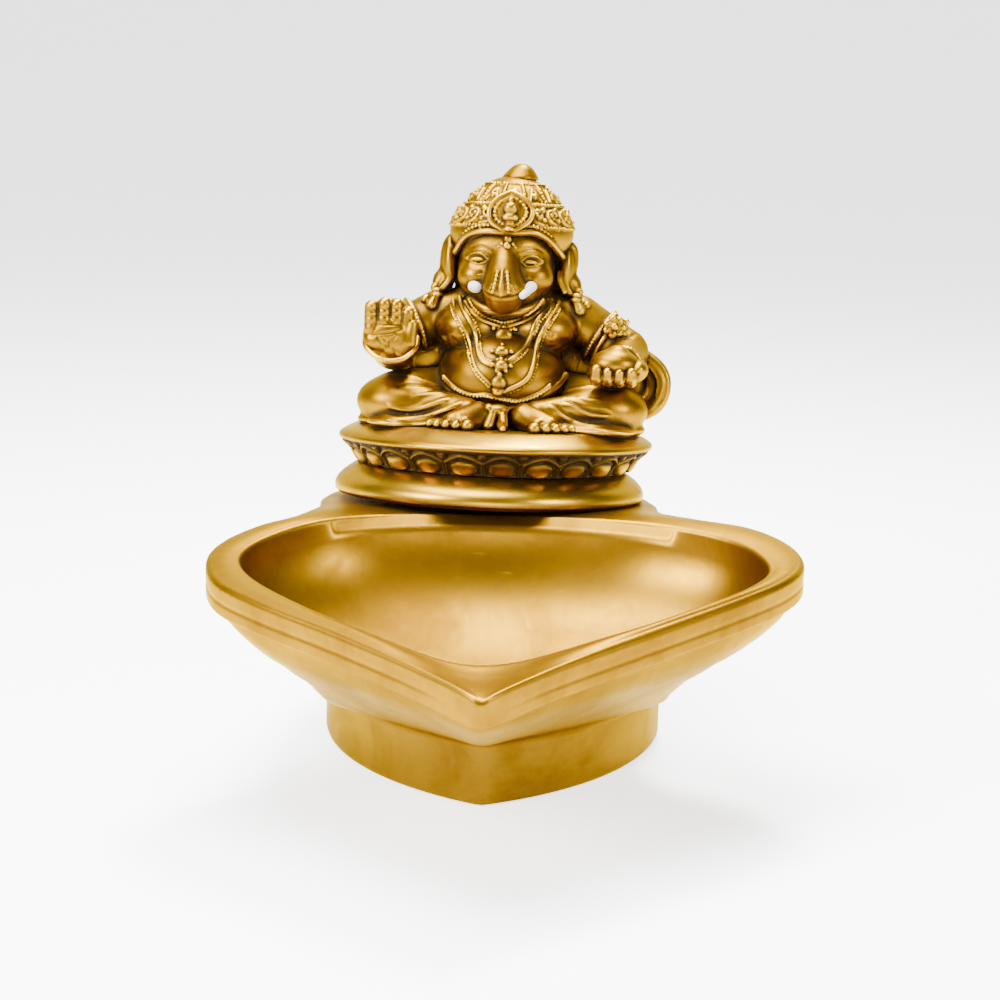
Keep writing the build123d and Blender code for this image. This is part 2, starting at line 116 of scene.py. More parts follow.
def ringed(name, rings, close_start=True, close_end=True):
    """A skin over closed rings of equal length, capped by a point at each end if asked."""
    n = len(rings[0])
    verts = [r for ring in rings for r in ring]
    faces = []
    for k in range(len(rings) - 1):
        for i in range(n):
            j = (i + 1) % n
            faces.append((k * n + i, k * n + j, (k + 1) * n + j, (k + 1) * n + i))
    if close_start:
        verts.append(np.mean(rings[0], axis=0))
        c = len(verts) - 1
        faces += [(c, (i + 1) % n, i) for i in range(n)]
    if close_end:
        verts.append(np.mean(rings[-1], axis=0))
        c, b = len(verts) - 1, (len(rings) - 1) * n
        faces += [(c, b + i, b + (i + 1) % n) for i in range(n)]
    return mesh_object(name, verts, faces)


# ---------------------------------------------------------------- shader groups, built once
def group(name, ins, outs):
    """A shader node group with typed inputs and outputs."""
    g = bpy.data.node_groups.new(name, "ShaderNodeTree")
    for n, kind, value in ins:
        s = g.interface.new_socket(n, in_out="INPUT", socket_type="NodeSocket" + kind)
        if value is not None:
            s.default_value = value
    for n, kind in outs:
        g.interface.new_socket(n, in_out="OUTPUT", socket_type="NodeSocket" + kind)
    return g, g.nodes.new("NodeGroupInput"), g.nodes.new("NodeGroupOutput")


def add(tree, kind, **values):
    """A node with its plain socket values and properties set by name."""
    node = tree.nodes.new("ShaderNode" + kind)
    for key, value in values.items():
        if key in node.inputs:
            node.inputs[key].default_value = value
        else:
            setattr(node, key, value)
    return node


def mix(tree, a, b, factor):
    """A colour mix node; a, b and factor are sockets or values."""
    m = tree.nodes.new("ShaderNodeMix")
    m.data_type, m.blend_type, m.clamp_result = "RGBA", "MIX", False
    for index, value in ((0, factor), (6, a), (7, b)):
        if hasattr(value, "is_output"):
            tree.links.new(value, m.inputs[index])
        else:
            m.inputs[index].default_value = value
    return m.outputs[2]


def maths(tree, op, a, b):
    """A maths node on sockets or values."""
    m = tree.nodes.new("ShaderNodeMath")
    m.operation, m.use_clamp = op, False
    for index, value in ((0, a), (1, b)):
        if hasattr(value, "is_output"):
            tree.links.new(value, m.inputs[index])
        else:
            m.inputs[index].default_value = value
    return m.outputs[0]


def ramp(tree, value, low, high):
    """A smooth step of a value between two levels."""
    m = tree.nodes.new("ShaderNodeMapRange")
    m.interpolation_type = "SMOOTHSTEP"
    tree.links.new(value, m.inputs["Value"])
    for key, v in (("From Min", low), ("From Max", high), ("To Min", 0.0), ("To Max", 1.0)):
        m.inputs[key].default_value = v
    return m.outputs[0]


def make_brushed():
    """Fine drawn lines round the axis of a piece, plus long stray scratches: a mask and a height."""
    g, i, o = group(
        "brushed lines",
        [("Scale", "Float", 1.0), ("Stretch", "Vector", (1.0, 1.0, 1.0))],
        [("Lines", "Float"), ("Height", "Float")],
    )
    geo = add(g, "NewGeometry")
    size = add(g, "VectorMath", operation="MULTIPLY")
    g.links.new(geo.outputs["Position"], size.inputs[0])
    g.links.new(i.outputs["Stretch"], size.inputs[1])
    scaled = add(g, "VectorMath", operation="SCALE")
    g.links.new(size.outputs[0], scaled.inputs[0])
    g.links.new(i.outputs["Scale"], scaled.inputs["Scale"])
    fine = add(g, "TexNoise", Scale=900.0, Detail=4.0, Roughness=0.7)
    g.links.new(scaled.outputs[0], fine.inputs["Vector"])
    turned = add(g, "Mapping", Rotation=(0.3, 0.2, 0.9), Scale=(1.0, 14.0, 14.0))
    g.links.new(geo.outputs["Position"], turned.inputs["Vector"])
    stray = add(g, "TexNoise", Scale=110.0, Detail=5.0, Roughness=0.75)
    g.links.new(turned.outputs[0], stray.inputs["Vector"])
    thin = ramp(g, stray.outputs[0], 0.62, 0.72)
    height = maths(g, "ADD", maths(g, "MULTIPLY", fine.outputs[0], 0.5), maths(g, "MULTIPLY", thin, -0.4))
    g.links.new(fine.outputs[0], o.inputs["Lines"])
    g.links.new(height, o.inputs["Height"])
    return g


def make_tarnish():
    """Cloudy darker brass with small brown spots: a soft mask and a spot mask."""
    g, i, o = group("tarnish", [("Scale", "Float", 1.0)], [("Clouds", "Float"), ("Spots", "Float")])
    geo = add(g, "NewGeometry")
    size = add(g, "VectorMath", operation="SCALE")
    g.links.new(geo.outputs["Position"], size.inputs[0])
    g.links.new(i.outputs["Scale"], size.inputs["Scale"])
    clouds = add(g, "TexNoise", Scale=60.0, Detail=6.0, Roughness=0.62, Distortion=0.6)
    spots = add(g, "TexNoise", Scale=420.0, Detail=3.0, Roughness=0.6)
    g.links.new(size.outputs[0], clouds.inputs["Vector"])
    g.links.new(size.outputs[0], spots.inputs["Vector"])
    g.links.new(ramp(g, clouds.outputs[0], 0.38, 0.68), o.inputs["Clouds"])
    g.links.new(ramp(g, spots.outputs[0], 0.64, 0.74), o.inputs["Spots"])
    return g


def make_casting():
    """Grain of a cast surface: a height in a small and a large size."""
    g, i, o = group("cast grain", [("Scale", "Float", 1.0)], [("Height", "Float"), ("Grain", "Float")])
    geo = add(g, "NewGeometry")
    size = add(g, "VectorMath", operation="SCALE")
    g.links.new(geo.outputs["Position"], size.inputs[0])
    g.links.new(i.outputs["Scale"], size.inputs["Scale"])
    small = add(g, "TexNoise", Scale=1500.0, Detail=4.0, Roughness=0.65)
    large = add(g, "TexNoise", Scale=190.0, Detail=3.0, Roughness=0.5)
    g.links.new(size.outputs[0], small.inputs["Vector"])
    g.links.new(size.outputs[0], large.inputs["Vector"])
    total = maths(g, "ADD", maths(g, "MULTIPLY", small.outputs[0], 0.3), large.outputs[0])
    g.links.new(total, o.inputs["Height"])
    g.links.new(small.outputs[0], o.inputs["Grain"])
    return g


BRUSHED, TARNISH, CASTING = make_brushed(), make_tarnish(), make_casting()


def use(tree, g, **values):
    """An instance of a shader group with its inputs set."""
    node = tree.nodes.new("ShaderNodeGroup")
    node.node_tree = g
    for key, value in values.items():
        node.inputs[key].default_value = value
    return node


def new_material(name):
    """A node material, its tree and its Principled shader."""
    m = bpy.data.materials.new(name)
    m.use_nodes = True
    return m, m.node_tree, m.node_tree.nodes["Principled BSDF"]


BRASS_GLINT = (0.92, 0.76, 0.34, 1)


def satin_brass(name, light, deep, rough, stretch, bump, mark):
    """Satin brass with drawn lines and small brown stains; mark makes the stains stronger."""
    m, t, p = new_material(name)
    lines = use(t, BRUSHED, Stretch=stretch)
    stain = use(t, TARNISH)
    grain = use(t, CASTING)
    colour = mix(t, (*light, 1), (*deep, 1), stain.outputs["Clouds"])
    colour = mix(t, colour, (*[c * 0.72 for c in deep], 1),
                 maths(t, "MULTIPLY", lines.outputs["Lines"], 0.35))
    colour = mix(t, colour, (0.16, 0.075, 0.02, 1), maths(t, "MULTIPLY", stain.outputs["Spots"], 0.25 + mark))
    t.links.new(colour, p.inputs["Base Color"])
    p.inputs["Metallic"].default_value = 1.0
    p.inputs["Specular Tint"].default_value = BRASS_GLINT
    r = maths(t, "ADD", maths(t, "MULTIPLY", stain.outputs["Clouds"], 0.08), rough)
    r = maths(t, "ADD", r, maths(t, "MULTIPLY", lines.outputs["Lines"], 0.10))
    t.links.new(r, p.inputs["Roughness"])
    b = add(t, "Bump", Strength=bump, Distance=0.00012)
    h = maths(t, "ADD", lines.outputs["Height"], maths(t, "MULTIPLY", grain.outputs["Height"], 0.5))
    t.links.new(h, b.inputs["Height"])
    t.links.new(b.outputs[0], p.inputs["Normal"])
    return m


def dress(ob, material, nodes):
    """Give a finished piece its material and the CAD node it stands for."""
    ob.data.materials.clear()
    ob.data.materials.append(material)
    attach(ob, "root")
    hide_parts(*nodes)
    return ob


# ---------------------------------------------------------------- outline of the bowl
AXIS, TIP = 31.5, -59.0
RIM_Z, SLOPE, LEAN = 37.8, math.radians(8), math.radians(6)
WIDEST, MID_Y, FC = -10.0, -16.6, (1.4, 18.0)
DEPTH, BAND = 20.5, 5.0
N = 960
TH = np.linspace(0, 2 * math.pi, N, endpoint=False)
FRONT = np.abs((TH + math.pi / 2 + math.pi) % (2 * math.pi) - math.pi)      # angle away from the nose


def between(a, b, c, d, t):
    """Points from b to c on a Catmull-Rom curve, where a and d are the points before and after."""
    return 0.5 * (2 * b + (c - a) * t + (2 * a - 5 * b + 4 * c - d) * t**2 + (3 * b - a - 3 * c + d) * t**3)


def closed_curve(points, per=24):
    """A smooth closed curve through points."""
    p = np.asarray(points, float)
    out = []
    for i in range(len(p)):
        a, b, c, d = p[i - 1], p[i], p[(i + 1) % len(p)], p[(i + 2) % len(p)]
        t = np.linspace(0, 1, per, endpoint=False)[:, None]
        out.append(between(a, b, c, d, t))
    return np.concatenate(out)


def radial(points, centre=(0, MID_Y)):
    """Distance from a centre to a closed outline, for every angle of TH."""
    p = np.asarray(points, float)
    q = np.roll(p, -1, axis=0)
    dense = np.concatenate([p + (q - p) * w for w in np.linspace(0, 1, 12, endpoint=False)])
    d = dense - np.array(centre)
    ang, rad = np.arctan2(d[:, 1], d[:, 0]) % (2 * math.pi), np.hypot(d[:, 0], d[:, 1])
    order = np.argsort(ang)
    ang, rad = ang[order], rad[order]
    return np.interp(TH, np.concatenate([ang - 2 * math.pi, ang, ang + 2 * math.pi]), np.tile(rad, 3))


def blur_round(a, n):
    """Smooth values that go once round a closed outline."""
    k = np.hanning(2 * n + 3)[1:-1]
    k /= k.sum()
    return np.convolve(np.concatenate([a[-n:], a, a[:n]]), k, "valid")


def blur_level(a, n):
    """Smooth rows of values from one height to the next, keeping the trend at both ends."""
    k = np.hanning(2 * n + 3)[1:-1]
    k /= k.sum()
    pad = np.concatenate([2 * a[:1] - a[n:0:-1], a, 2 * a[-1:] - a[-2:-n - 2:-1]])
    return np.stack([np.convolve(pad[:, j], k, "valid") for j in range(a.shape[1])], 1)


def smax(a, b, k):
    """The greater of two values, rounded over a width k where they meet."""
    h = np.clip(0.5 + 0.5 * (a - b) / k, 0, 1)
    return b + (a - b) * h + k * h * (1 - h)


def ease(v):
    """A smooth step from 0 to 1."""
    v = np.clip(v, 0, 1)
    return v * v * (3 - 2 * v)


def top_z(y):
    """Height of the rim, which falls towards the nose, and of the shelf, which falls to the back."""
    return -smax(-(RIM_Z + math.tan(SLOPE) * (y - WIDEST)), -(37.4 - math.tan(LEAN) * (y - AXIS)), 1.6)


def channel(x, y):
    """Depth of the broad groove that leads from the hollow to the nose."""
    half = 1.5 + 0.98 * np.maximum(y - TIP, 0)
    u = np.clip(np.abs(x) / half, 0, 1)
    return (2.0 * ease((-y - 36) / 13) - 1.1 * ease((-y - 50) / 9)) * (1 - u**2) ** 1.5


def ring_at(r, z, cy=MID_Y, cx=0.0):
    """A ring of points round a centre; z is a height or a rule that gives it from x and y."""
    x, y = cx + r * np.cos(TH), cy + r * np.sin(TH)
    return np.stack([x + X0, y, z(x, y) if callable(z) else np.zeros(N) + z], 1)


SIDE = [(1.7, -58.2), (9.6, -50.4), (23.6, -37.8), (37.6, -24.9), (44.6, -17.2), (47.4, -10.4), (46.2, -3.0),
        (40.8, 4.4), (33.0, 9.6), (28.0, 16.4), (27.5, 28), (24.4, 44), (14, 55.2)]
OTHER = [(-14, 55.2), (-24.4, 44), (-27.5, 28), (-27.2, 15.5), (-29.8, 6.2), (-35.6, -0.2), (-39.8, -6.6),
         (-41.3, -13.6), (-39.0, -22.6), (-32.2, -30.2), (-21.2, -39.6), (-9.2, -50.6), (-1.7, -58.2)]
R_out = blur_round(radial(closed_curve([(0, -59.0)] + SIDE + [(0, 59.0)] + OTHER)), 3)
R_cav = blur_round(radial(closed_curve([(0, -44.8), (9.5, -43.0), (18.8, -37.8), (29.4, -29.0), (38.6, -20.0),
                                        (41.9, -12.4), (38.0, -2.6), (27.0, 4.6), (14.0, 7.8), (0.5, 8.7),
                                        (-12.0, 7.8), (-23.6, 4.2), (-32.6, -4.0), (-36.4, -12.6),
                                        (-33.6, -21.4), (-24.6, -31.8), (-15.0, -39.8), (-7.6, -43.8)])), 8)
lip = 0.8 + 2.6 * np.exp(-((FRONT / 0.42) ** 2))
R_cav = R_cav - lip * 0.35
rings = []
for s in np.linspace(0.03, 1, 100) ** 0.72:
    rings.append(ring_at(R_cav * s, lambda x, y: RIM_Z + math.tan(SLOPE) * (y - WIDEST) - channel(x, y) * s**6
                         - DEPTH * max(1 - s**2.15, 0) ** (1 / 2.15) - lip * s**8))
for a in np.linspace(0.12, 1, 10) * math.pi / 2:
    rings.append(ring_at(R_cav + lip * (1 - math.cos(a)), lambda x,
                         y: top_z(y) - channel(x, y) - lip * (1 - math.sin(a))))
edge = 1.0
for w in np.linspace(0.03, 1, 50):
    rings.append(ring_at((R_cav + lip) * (1 - w) + (R_out - edge) * w,
                         lambda x, y: top_z(y) - channel(x, y) + 0.25 * math.sin(math.pi * w)))
for a in np.linspace(0.12, 1, 9) * math.pi / 2:
    rings.append(ring_at(R_out - edge * (1 - math.sin(a)), lambda x,
                         y: top_z(y) - channel(x, y) - edge * (1 - math.cos(a))))
nose = np.exp(-((FRONT / 0.20) ** 2))
band = BAND + 0.2 * nose
low = 0.7
for w in np.linspace(0.08, 1, 14):
    groove = 0.16 * math.exp(-(((w - 0.55) / 0.09) ** 2)) * (1 - nose)
    rings.append(ring_at(R_out - groove, lambda x, y: top_z(y) - channel(x, y) * (1 - w) - edge
                         - (band - edge - low) * w))
for a in np.linspace(0.15, 1, 6) * math.pi / 2:
    rings.append(ring_at(R_out - low * (1 - math.cos(a)), lambda x,
                         y: top_z(y) - band + low * (1 - math.sin(a))))


def foot_points(inset):
    """The foot's leaf outline, inset all round: a round back and two bowed sides that meet at a corner."""
    a = np.linspace(0, math.pi, 90)
    back = np.stack([1.4 + 27.5 * np.cos(a), 21.6 + 27.5 * np.sin(a)], 1)
    left = arc3((1.4 - 27.5, 21.6), (0.7 - 15.5, -4.2), (-1.3, -14.95))[1:]
    right = arc3((1.3, -14.95), (0.7 + 15.5, -4.2), (1.4 + 27.5, 21.6))[:-1]
    p = np.concatenate([back, left, np.array([[0.0, -15.4]]), right])
    t = np.roll(p, -1, 0) - np.roll(p, 1, 0)
    return p - np.stack([t[:, 1], -t[:, 0]], 1) / np.linalg.norm(t, axis=1)[:, None] * inset


def arc3(p, m, q, n=60):
    """Points of the circular arc from p through m to q."""
    (ax, ay), (bx, by), (cx, cy) = p, m, q
    d = 2 * (ax * (by - cy) + bx * (cy - ay) + cx * (ay - by))
    a2, b2, c2 = ax * ax + ay * ay, bx * bx + by * by, cx * cx + cy * cy
    ux = (a2 * (by - cy) + b2 * (cy - ay) + c2 * (ay - by)) / d
    uy = (a2 * (cx - bx) + b2 * (ax - cx) + c2 * (bx - ax)) / d
    a0, a1 = math.atan2(ay - uy, ax - ux), math.atan2(cy - uy, cx - ux)
    a = a0 + ((a1 - a0 + math.pi) % (2 * math.pi) - math.pi) * np.linspace(0, 1, n)
    return np.stack([ux + math.hypot(ax - ux, ay - uy) * np.cos(a),
                     uy + math.hypot(ax - ux, ay - uy) * np.sin(a)], 1)


def foot_ring(inset, z):
    """A ring on the foot's leaf outline, inset all round."""
    return ring_at(blur_round(radial(foot_points(inset), FC), 3), z, FC[1], FC[0])


# The hull narrows from under the band to the foot; every level is drawn from its own middle point.
full_line = closed_curve([(0, -59.0)] + SIDE + [(0, 59.0)] + OTHER)
levels = []
for z, share, tip in ((36, 0.975, 0.4), (30, 0.95, 1.0), (27, 0.885, 1.8), (24, 0.81, 5.0),
                      (20.5, 0.72, 12.2), (17, 0.645, 21.0), (13.5, 0.60, 31.5)):
    p = full_line.copy()
    shelf = ease((p[:, 1] - 6) / 14)
    p[:, 0] *= share + (0.975 - share) * shelf
    front_y = TIP + tip
    p[:, 1] = np.where(p[:, 1] < 6, 6 + (p[:, 1] - 6) * (6 - front_y) / (6 - TIP), p[:, 1] - 1.2 * shelf)
    cy = MID_Y + (FC[1] - MID_Y) * ease((27 - z) / 16)
    levels.append((z, cy, FC[0] * ease((27 - z) / 16), radial(p, (FC[0] * ease((27 - z) / 16), cy))))
for z, inset in ((10.6, -0.9), (9.6, -0.3), (8.0, 0.4), (7.0, 1.0)):
    levels.append((z, FC[1], FC[0], radial(foot_points(inset), FC)))
levels = levels[::-1]
zf = np.arange(7, 36.01, 0.25)
fine = np.stack([np.interp(zf, [v[0] for v in levels], col) for col in zip(*[v[3] for v in levels])], 1)
fine = blur_level(np.stack([blur_round(r, 8) for r in fine]), 7)
mid = np.stack([np.interp(zf, [v[0] for v in levels], [v[k] for v in levels]) for k in (1, 2)], 1)
mid = blur_level(mid, 7)


def hull_ring(z):
    """The hull's outline at a height that may differ round the bowl."""
    f = np.clip((z - 7) / 0.25, 0, len(zf) - 1.001)
    i, w, k = f.astype(int), f - f.astype(int), np.arange(N)
    r = fine[i, k] * (1 - w) + fine[i + 1, k] * w
    cy, cx = [mid[i, j] * (1 - w) + mid[i + 1, j] * w for j in (0, 1)]
    return np.stack([cx + r * np.cos(TH) + X0, cy + r * np.sin(TH), z], 1)


under = rings[-1]
z_step = under[:, 2] - 0.5
first = hull_ring(z_step)
for w in (0.35, 0.7):
    rings.append(under * (1 - w) + first * w)
for w in np.linspace(0, 1, 64):
    rings.append(hull_ring(z_step * (1 - w) + 7.0 * w))
rings += [foot_ring(3.2, 7.0), foot_ring(3.5, 7.4), foot_ring(3.5, 10), foot_ring(3.7, 11.8),
          foot_ring(4.3, 12.0)]
SEAT_O = Vector((X0, AXIS, 38.0))
SEAT_R = Matrix.Rotation(math.radians(1.2), 3, "Y") @ Matrix.Rotation(math.radians(-6), 3, "X")
SR = np.array(SEAT_R)
SEAT_MID = 0.7                              # the lotus seat stands this far to one side of the axis


def seat_to_world(p):
    """Seat millimetres to row-frame millimetres: the seat leans back and to one side."""
    return np.asarray(p, float) @ SR.T + np.array(SEAT_O)


for r, z in ((16.6, -26.4), (16.0, -26.0), (16.0, -15), (16.0, -5.2), (15.3, -4.5), (8, -4.5), (2.3, -4.5)):
    rings.append(seat_to_world(np.stack([r * np.cos(TH), r * np.sin(TH), np.zeros(N) + z], 1)))
bowl = ringed("brass_bowl", rings)


def round_stack(name, profile, n=96, cx=0.0, caps=(True, True)):
    """A turned piece on the seat's axis from (radius, height) pairs."""
    a = np.linspace(0, 2 * math.pi, n, endpoint=False)
    return ringed(name, [seat_to_world(np.stack([cx + r * np.cos(a), r * np.sin(a), 0 * a + z], 1))
                         for r, z in profile], *caps)


satin = satin_brass("satin brass", (0.235, 0.118, 0.0015), (0.15, 0.068, 0.0005), 0.31, (1.0, 0.06, 0.5),
                    0.3, 0.1)
dress(bowl, satin, ["bowl"])

# ================================================================ foot
# Leaf-shaped brass ring under the bowl, 64 mm long, 3.5 mm thick, with a blunt corner to the front. It is a
# darker satin brass, with the lines running round it.
rows = [foot_ring(3.5, 0.5), foot_ring(3.5, 3.0), foot_ring(3.5, 6.0), foot_ring(3.4, 8.4),
        foot_ring(2.0, 8.6)]
rows += [foot_ring(0.6, 10.4), foot_ring(0.25, 10.35), foot_ring(0.05, 10.1)]
rows += [foot_ring(0, z) for z in (9, 7.5, 6, 4.5, 3, 2, 1.2)]
rows += [foot_ring(0.05, 0.7), foot_ring(0.25, 0.25), foot_ring(0.7, 0.03), foot_ring(1.2, 0.0),
         foot_ring(2.9, 0.0),
         foot_ring(3.3, 0.1), foot_ring(3.5, 0.5)]
foot = ringed("brass_foot", rows, False, False)
foot_mat = satin_brass("foot brass", (0.165, 0.086, 0.002), (0.105, 0.050, 0.0008), 0.36, (0.25, 0.25, 1.6),
                       0.35, 0.1)
dress(foot, foot_mat, ["foot"])

# ================================================================ plinth ring
# Smooth convex turned ring, 52 mm across, that stands on the shelf under the seat. Its brass is polished
# brighter than the bowl's.
prof = [(2.4, 0.0), (8, 0.0), (16, 0), (23, 0), (24.6, 0.0), (25.1, 0.12), (25.5, 0.5)]
for a in np.linspace(0, 1, 26):
    prof.append((25.55 + 0.45 * math.sin(a * math.pi * 0.5 * 2) * (1 - a) - 3.3 * a**2.0,
                 0.5 + 4.4 * a**0.93))
prof += [(22.0, 5.0), (21.6, 5.1), (12, 5.1), (2.4, 5.1), (2.4, 0.0)]
plinth = round_stack("turned_plinth", prof, 420, 0.0, (False, False))
plinth_mat = satin_brass("plinth brass", (0.36, 0.20, 0.008), (0.24, 0.12, 0.002), 0.26, (0.2, 0.2, 1.6),
                         0.18, 0.05)
dress(plinth, plinth_mat, ["plinth_ring"])

# ================================================================ modelling clay
# The figure is modelled in distance fields on one grid, in millimetres on the seat: x to the viewer's
# right, y to the back, z up from the shelf. Each section keeps its own field and becomes its own mesh.
H = 0.19
ALL = []


def smin(a, b, k):
    """The lesser of two distances, with a soft fillet of width k."""
    if k <= 0:
        return np.minimum(a, b)
    h = np.clip(0.5 + 0.5 * (b - a) / k, 0, 1)
    return b + (a - b) * h - k * h * (1 - h)


def spin(x, y, z, turn):
    """Coordinates turned back by three angles in degrees, about x, then y, then z."""
    r = np.array(Matrix.Rotation(math.radians(turn[2]), 3,
                                 "Z") @ Matrix.Rotation(math.radians(turn[1]), 3, "Y")
                 @ Matrix.Rotation(math.radians(turn[0]), 3, "X"))
    return [r[0, k] * x + r[1, k] * y + r[2, k] * z for k in range(3)]


def smooth_line(points, step=0.35):
    """A Catmull-Rom curve through points, at even steps."""
    p = np.asarray(points, float)
    if len(p) > 2:
        e = np.concatenate([[2 * p[0] - p[1]], p, [2 * p[-1] - p[-2]]])
        out = []
        for i in range(1, len(e) - 2):
            t = np.linspace(0, 1, 16, endpoint=False)[:, None]
            out.append(between(*e[i - 1:i + 3], t))
        p = np.concatenate(out + [p[-1:]])
    s = np.concatenate([[0], np.cumsum(np.linalg.norm(np.diff(p, axis=0), axis=1))])
    q = np.linspace(0, s[-1], max(2, int(s[-1] / step) + 1))
    return np.stack([np.interp(q, s, p[:, k]) for k in range(p.shape[1])], 1)


class Clay:
    """A lump of modelling clay: a distance field in a box, with tools that add, cut and score."""

    def __init__(self, name, lo, hi):
        self.name = name
        self.i0 = np.floor(np.array(lo) / H).astype(int)
        self.n = np.ceil((np.array(hi) - np.array(lo)) / H).astype(int) + 2
        self.d = np.full(self.n, 4.0, np.float32)
        ALL.append(self)

    def window(self, lo, hi):
        """The part of the grid inside a box, and its coordinates."""
        a = np.clip(np.floor(np.array(lo) / H).astype(int) - self.i0, 0, self.n - 1)
        b = np.clip(np.ceil(np.array(hi) / H).astype(int) - self.i0 + 1, a + 1, self.n)
        x, y, z = [(np.arange(a[k], b[k]) + self.i0[k]).astype(np.float32) * H for k in range(3)]
        return tuple(slice(a[k], b[k]) for k in range(3)), x[:, None,
                                                             None], y[None, :, None], z[None, None, :]

    def merge(self, part, d, k, cut=False):
        """Blend a distance field into a part of the clay, or cut it away."""
        w = self.d[part]
        self.d[part] = -smin(-w, d, k) if cut else smin(w, d, k)

    def egg(self, c, r, k=0.4, turn=None, cut=False, room=2.5):
        """An ellipsoid, added or cut away."""
        c, m = np.array(c, float), max(r) + room + k
        part, x, y, z = self.window(c - m, c + m)
        x, y, z = x - c[0], y - c[1], z - c[2]
        if turn:
            x, y, z = spin(x, y, z, turn)
        a = np.sqrt((x / r[0]) ** 2 + (y / r[1]) ** 2 + (z / r[2]) ** 2)
        b = np.sqrt((x / r[0] ** 2) ** 2 + (y / r[1] ** 2) ** 2 + (z / r[2] ** 2) ** 2)
        self.merge(part, a * (a - 1) / np.maximum(b, 1e-4), k, cut)

    def limb(self, a, b, ra, rb, k=0.4, room=2.0):
        """A round-ended limb that tapers from one radius to the other."""
        a, b = np.array(a, float), np.array(b, float)
        m = max(ra, rb) + room + k
        part, x, y, z = self.window(np.minimum(a, b) - m, np.maximum(a, b) + m)
        u = b - a
        t = np.clip(((x - a[0]) * u[0] + (y - a[1]) * u[1] + (z - a[2]) * u[2]) / (u @ u), 0, 1)
        d = np.sqrt((x - a[0] - t * u[0]) ** 2 + (y - a[1] - t * u[1]) ** 2 + (z - a[2] - t * u[2]) ** 2)
        self.merge(part, d - (ra + (rb - ra) * t), k)

    def near_line(self, p, reach):
        """The nearest distance to a polyline in a window round it, and how far along it is."""
        part, x, y, z = self.window(p.min(0) - reach, p.max(0) + reach)
        best = np.full(np.broadcast_shapes(x.shape, y.shape, z.shape), 9.0, np.float32)
        along = np.zeros_like(best)
        for i in range(len(p) - 1):
            a, u = p[i], p[i + 1] - p[i]
            lo, hi = np.minimum(a, p[i + 1]) - reach, np.maximum(a, p[i + 1]) + reach
            w = [slice(*np.searchsorted(v.ravel(), (lo[k], hi[k]))) for k, v in enumerate((x, y, z))]
            xx, yy, zz = x[w[0]], y[:, w[1]], z[:, :, w[2]]
            t = np.clip(((xx - a[0]) * u[0] + (yy - a[1]) * u[1] + (zz - a[2]) * u[2]) / max(u @ u, 1e-9), 0,
                        1)
            d = np.sqrt((xx - a[0] - t * u[0]) ** 2 + (yy - a[1] - t * u[1]) ** 2
                        + (zz - a[2] - t * u[2]) ** 2)
            box = tuple(w)
            nearer = d < best[box]
            best[box] = np.where(nearer, d, best[box])
            along[box] = np.where(nearer, i + t, along[box])
        return part, best, along / max(len(p) - 1, 1)

    def tube(self, points, r, k=0.2, taper=0.0):
        """A round cord; taper thins its ends."""
        p = smooth_line(points, 0.6)
        part, d, s = self.near_line(p, r + 1.2 + k)
        rr = r * (1 - taper * np.abs(2 * s - 1) ** 3)
        self.merge(part, np.where(d > 8, 4.0, d - rr), k)

    def score(self, points, width, depth):
        """Engrave a line, or raise one when depth is negative, fading at both ends."""
        p = smooth_line(points, 0.5)
        part, d, s = self.near_line(p, width * 2.6)
        fade = np.clip(np.minimum(s, 1 - s) * 7, 0, 1)
        self.d[part] += depth * np.exp(-((d / width) ** 2)) * (0.35 + 0.65 * fade)

    def beads(self, points, r, gap, k=0.05):
        """A row of round beads along a curve."""
        for p in smooth_line(points, gap):
            self.egg(p, (r, r, r), k, room=0.4)

    def front(self, x, z):
        """How far back the surface is, looking from the front, at each x and z."""
        ix = np.clip(np.round(np.asarray(x) / H).astype(int) - self.i0[0], 0, self.n[0] - 1)
        iz = np.clip(np.round(np.asarray(z) / H).astype(int) - self.i0[2], 0, self.n[2] - 1)
        col = self.d[ix, :, iz]
        hit = np.argmax(col < 0, axis=1)
        hit = np.where(col.min(1) < 0, np.maximum(hit, 1), self.n[1] // 2)
        k = np.arange(len(hit))
        a, b = col[k, hit - 1], col[k, hit]
        return (hit - 1 + a / np.maximum(a - b, 1e-4) + self.i0[1]) * H

    def lay(self, xz, lift=0.0, smooth=3):
        """A curve given by x and z, laid on the front of this clay."""
        p = smooth_line(xz, 0.4)
        y = self.front(p[:, 0], p[:, 1])
        if len(y) > 2 * smooth + 2:
            pad = np.concatenate([np.repeat(y[0], smooth), y, np.repeat(y[-1], smooth)])
            y = np.convolve(pad, np.ones(2 * smooth + 1) / (2 * smooth + 1), "valid")
        return np.stack([p[:, 0], y - lift, p[:, 1]], 1)

    def shared(self, other):
        """Matching parts of this clay and another."""
        lo = np.maximum(self.i0, other.i0)
        hi = np.minimum(self.i0 + self.n, other.i0 + other.n)
        mine = tuple(slice(lo[k] - self.i0[k], max(hi[k], lo[k]) - self.i0[k]) for k in range(3))
        theirs = tuple(slice(lo[k] - other.i0[k], max(hi[k], lo[k]) - other.i0[k]) for k in range(3))
        return mine, theirs

    def grow_from(self, other, k):
        """Flow this clay onto another with a soft fillet, keeping only what stands off it."""
        mine, theirs = self.shared(other)
        o = other.d[theirs]
        self.d[mine] = np.maximum(smin(self.d[mine], o, k), -o - 0.12)

    def fatten(self):
        """Skin the clay: points in seat millimetres, then triangles and quads facing out."""
        grid = openvdb.FloatGrid(background=4.0)
        grid.copyFromArray(np.ascontiguousarray(self.d))
        pts, tris, quads = grid.convertToPolygons(isovalue=0.0, adaptivity=0.0)
        return (pts + self.i0) * H, tris, quads


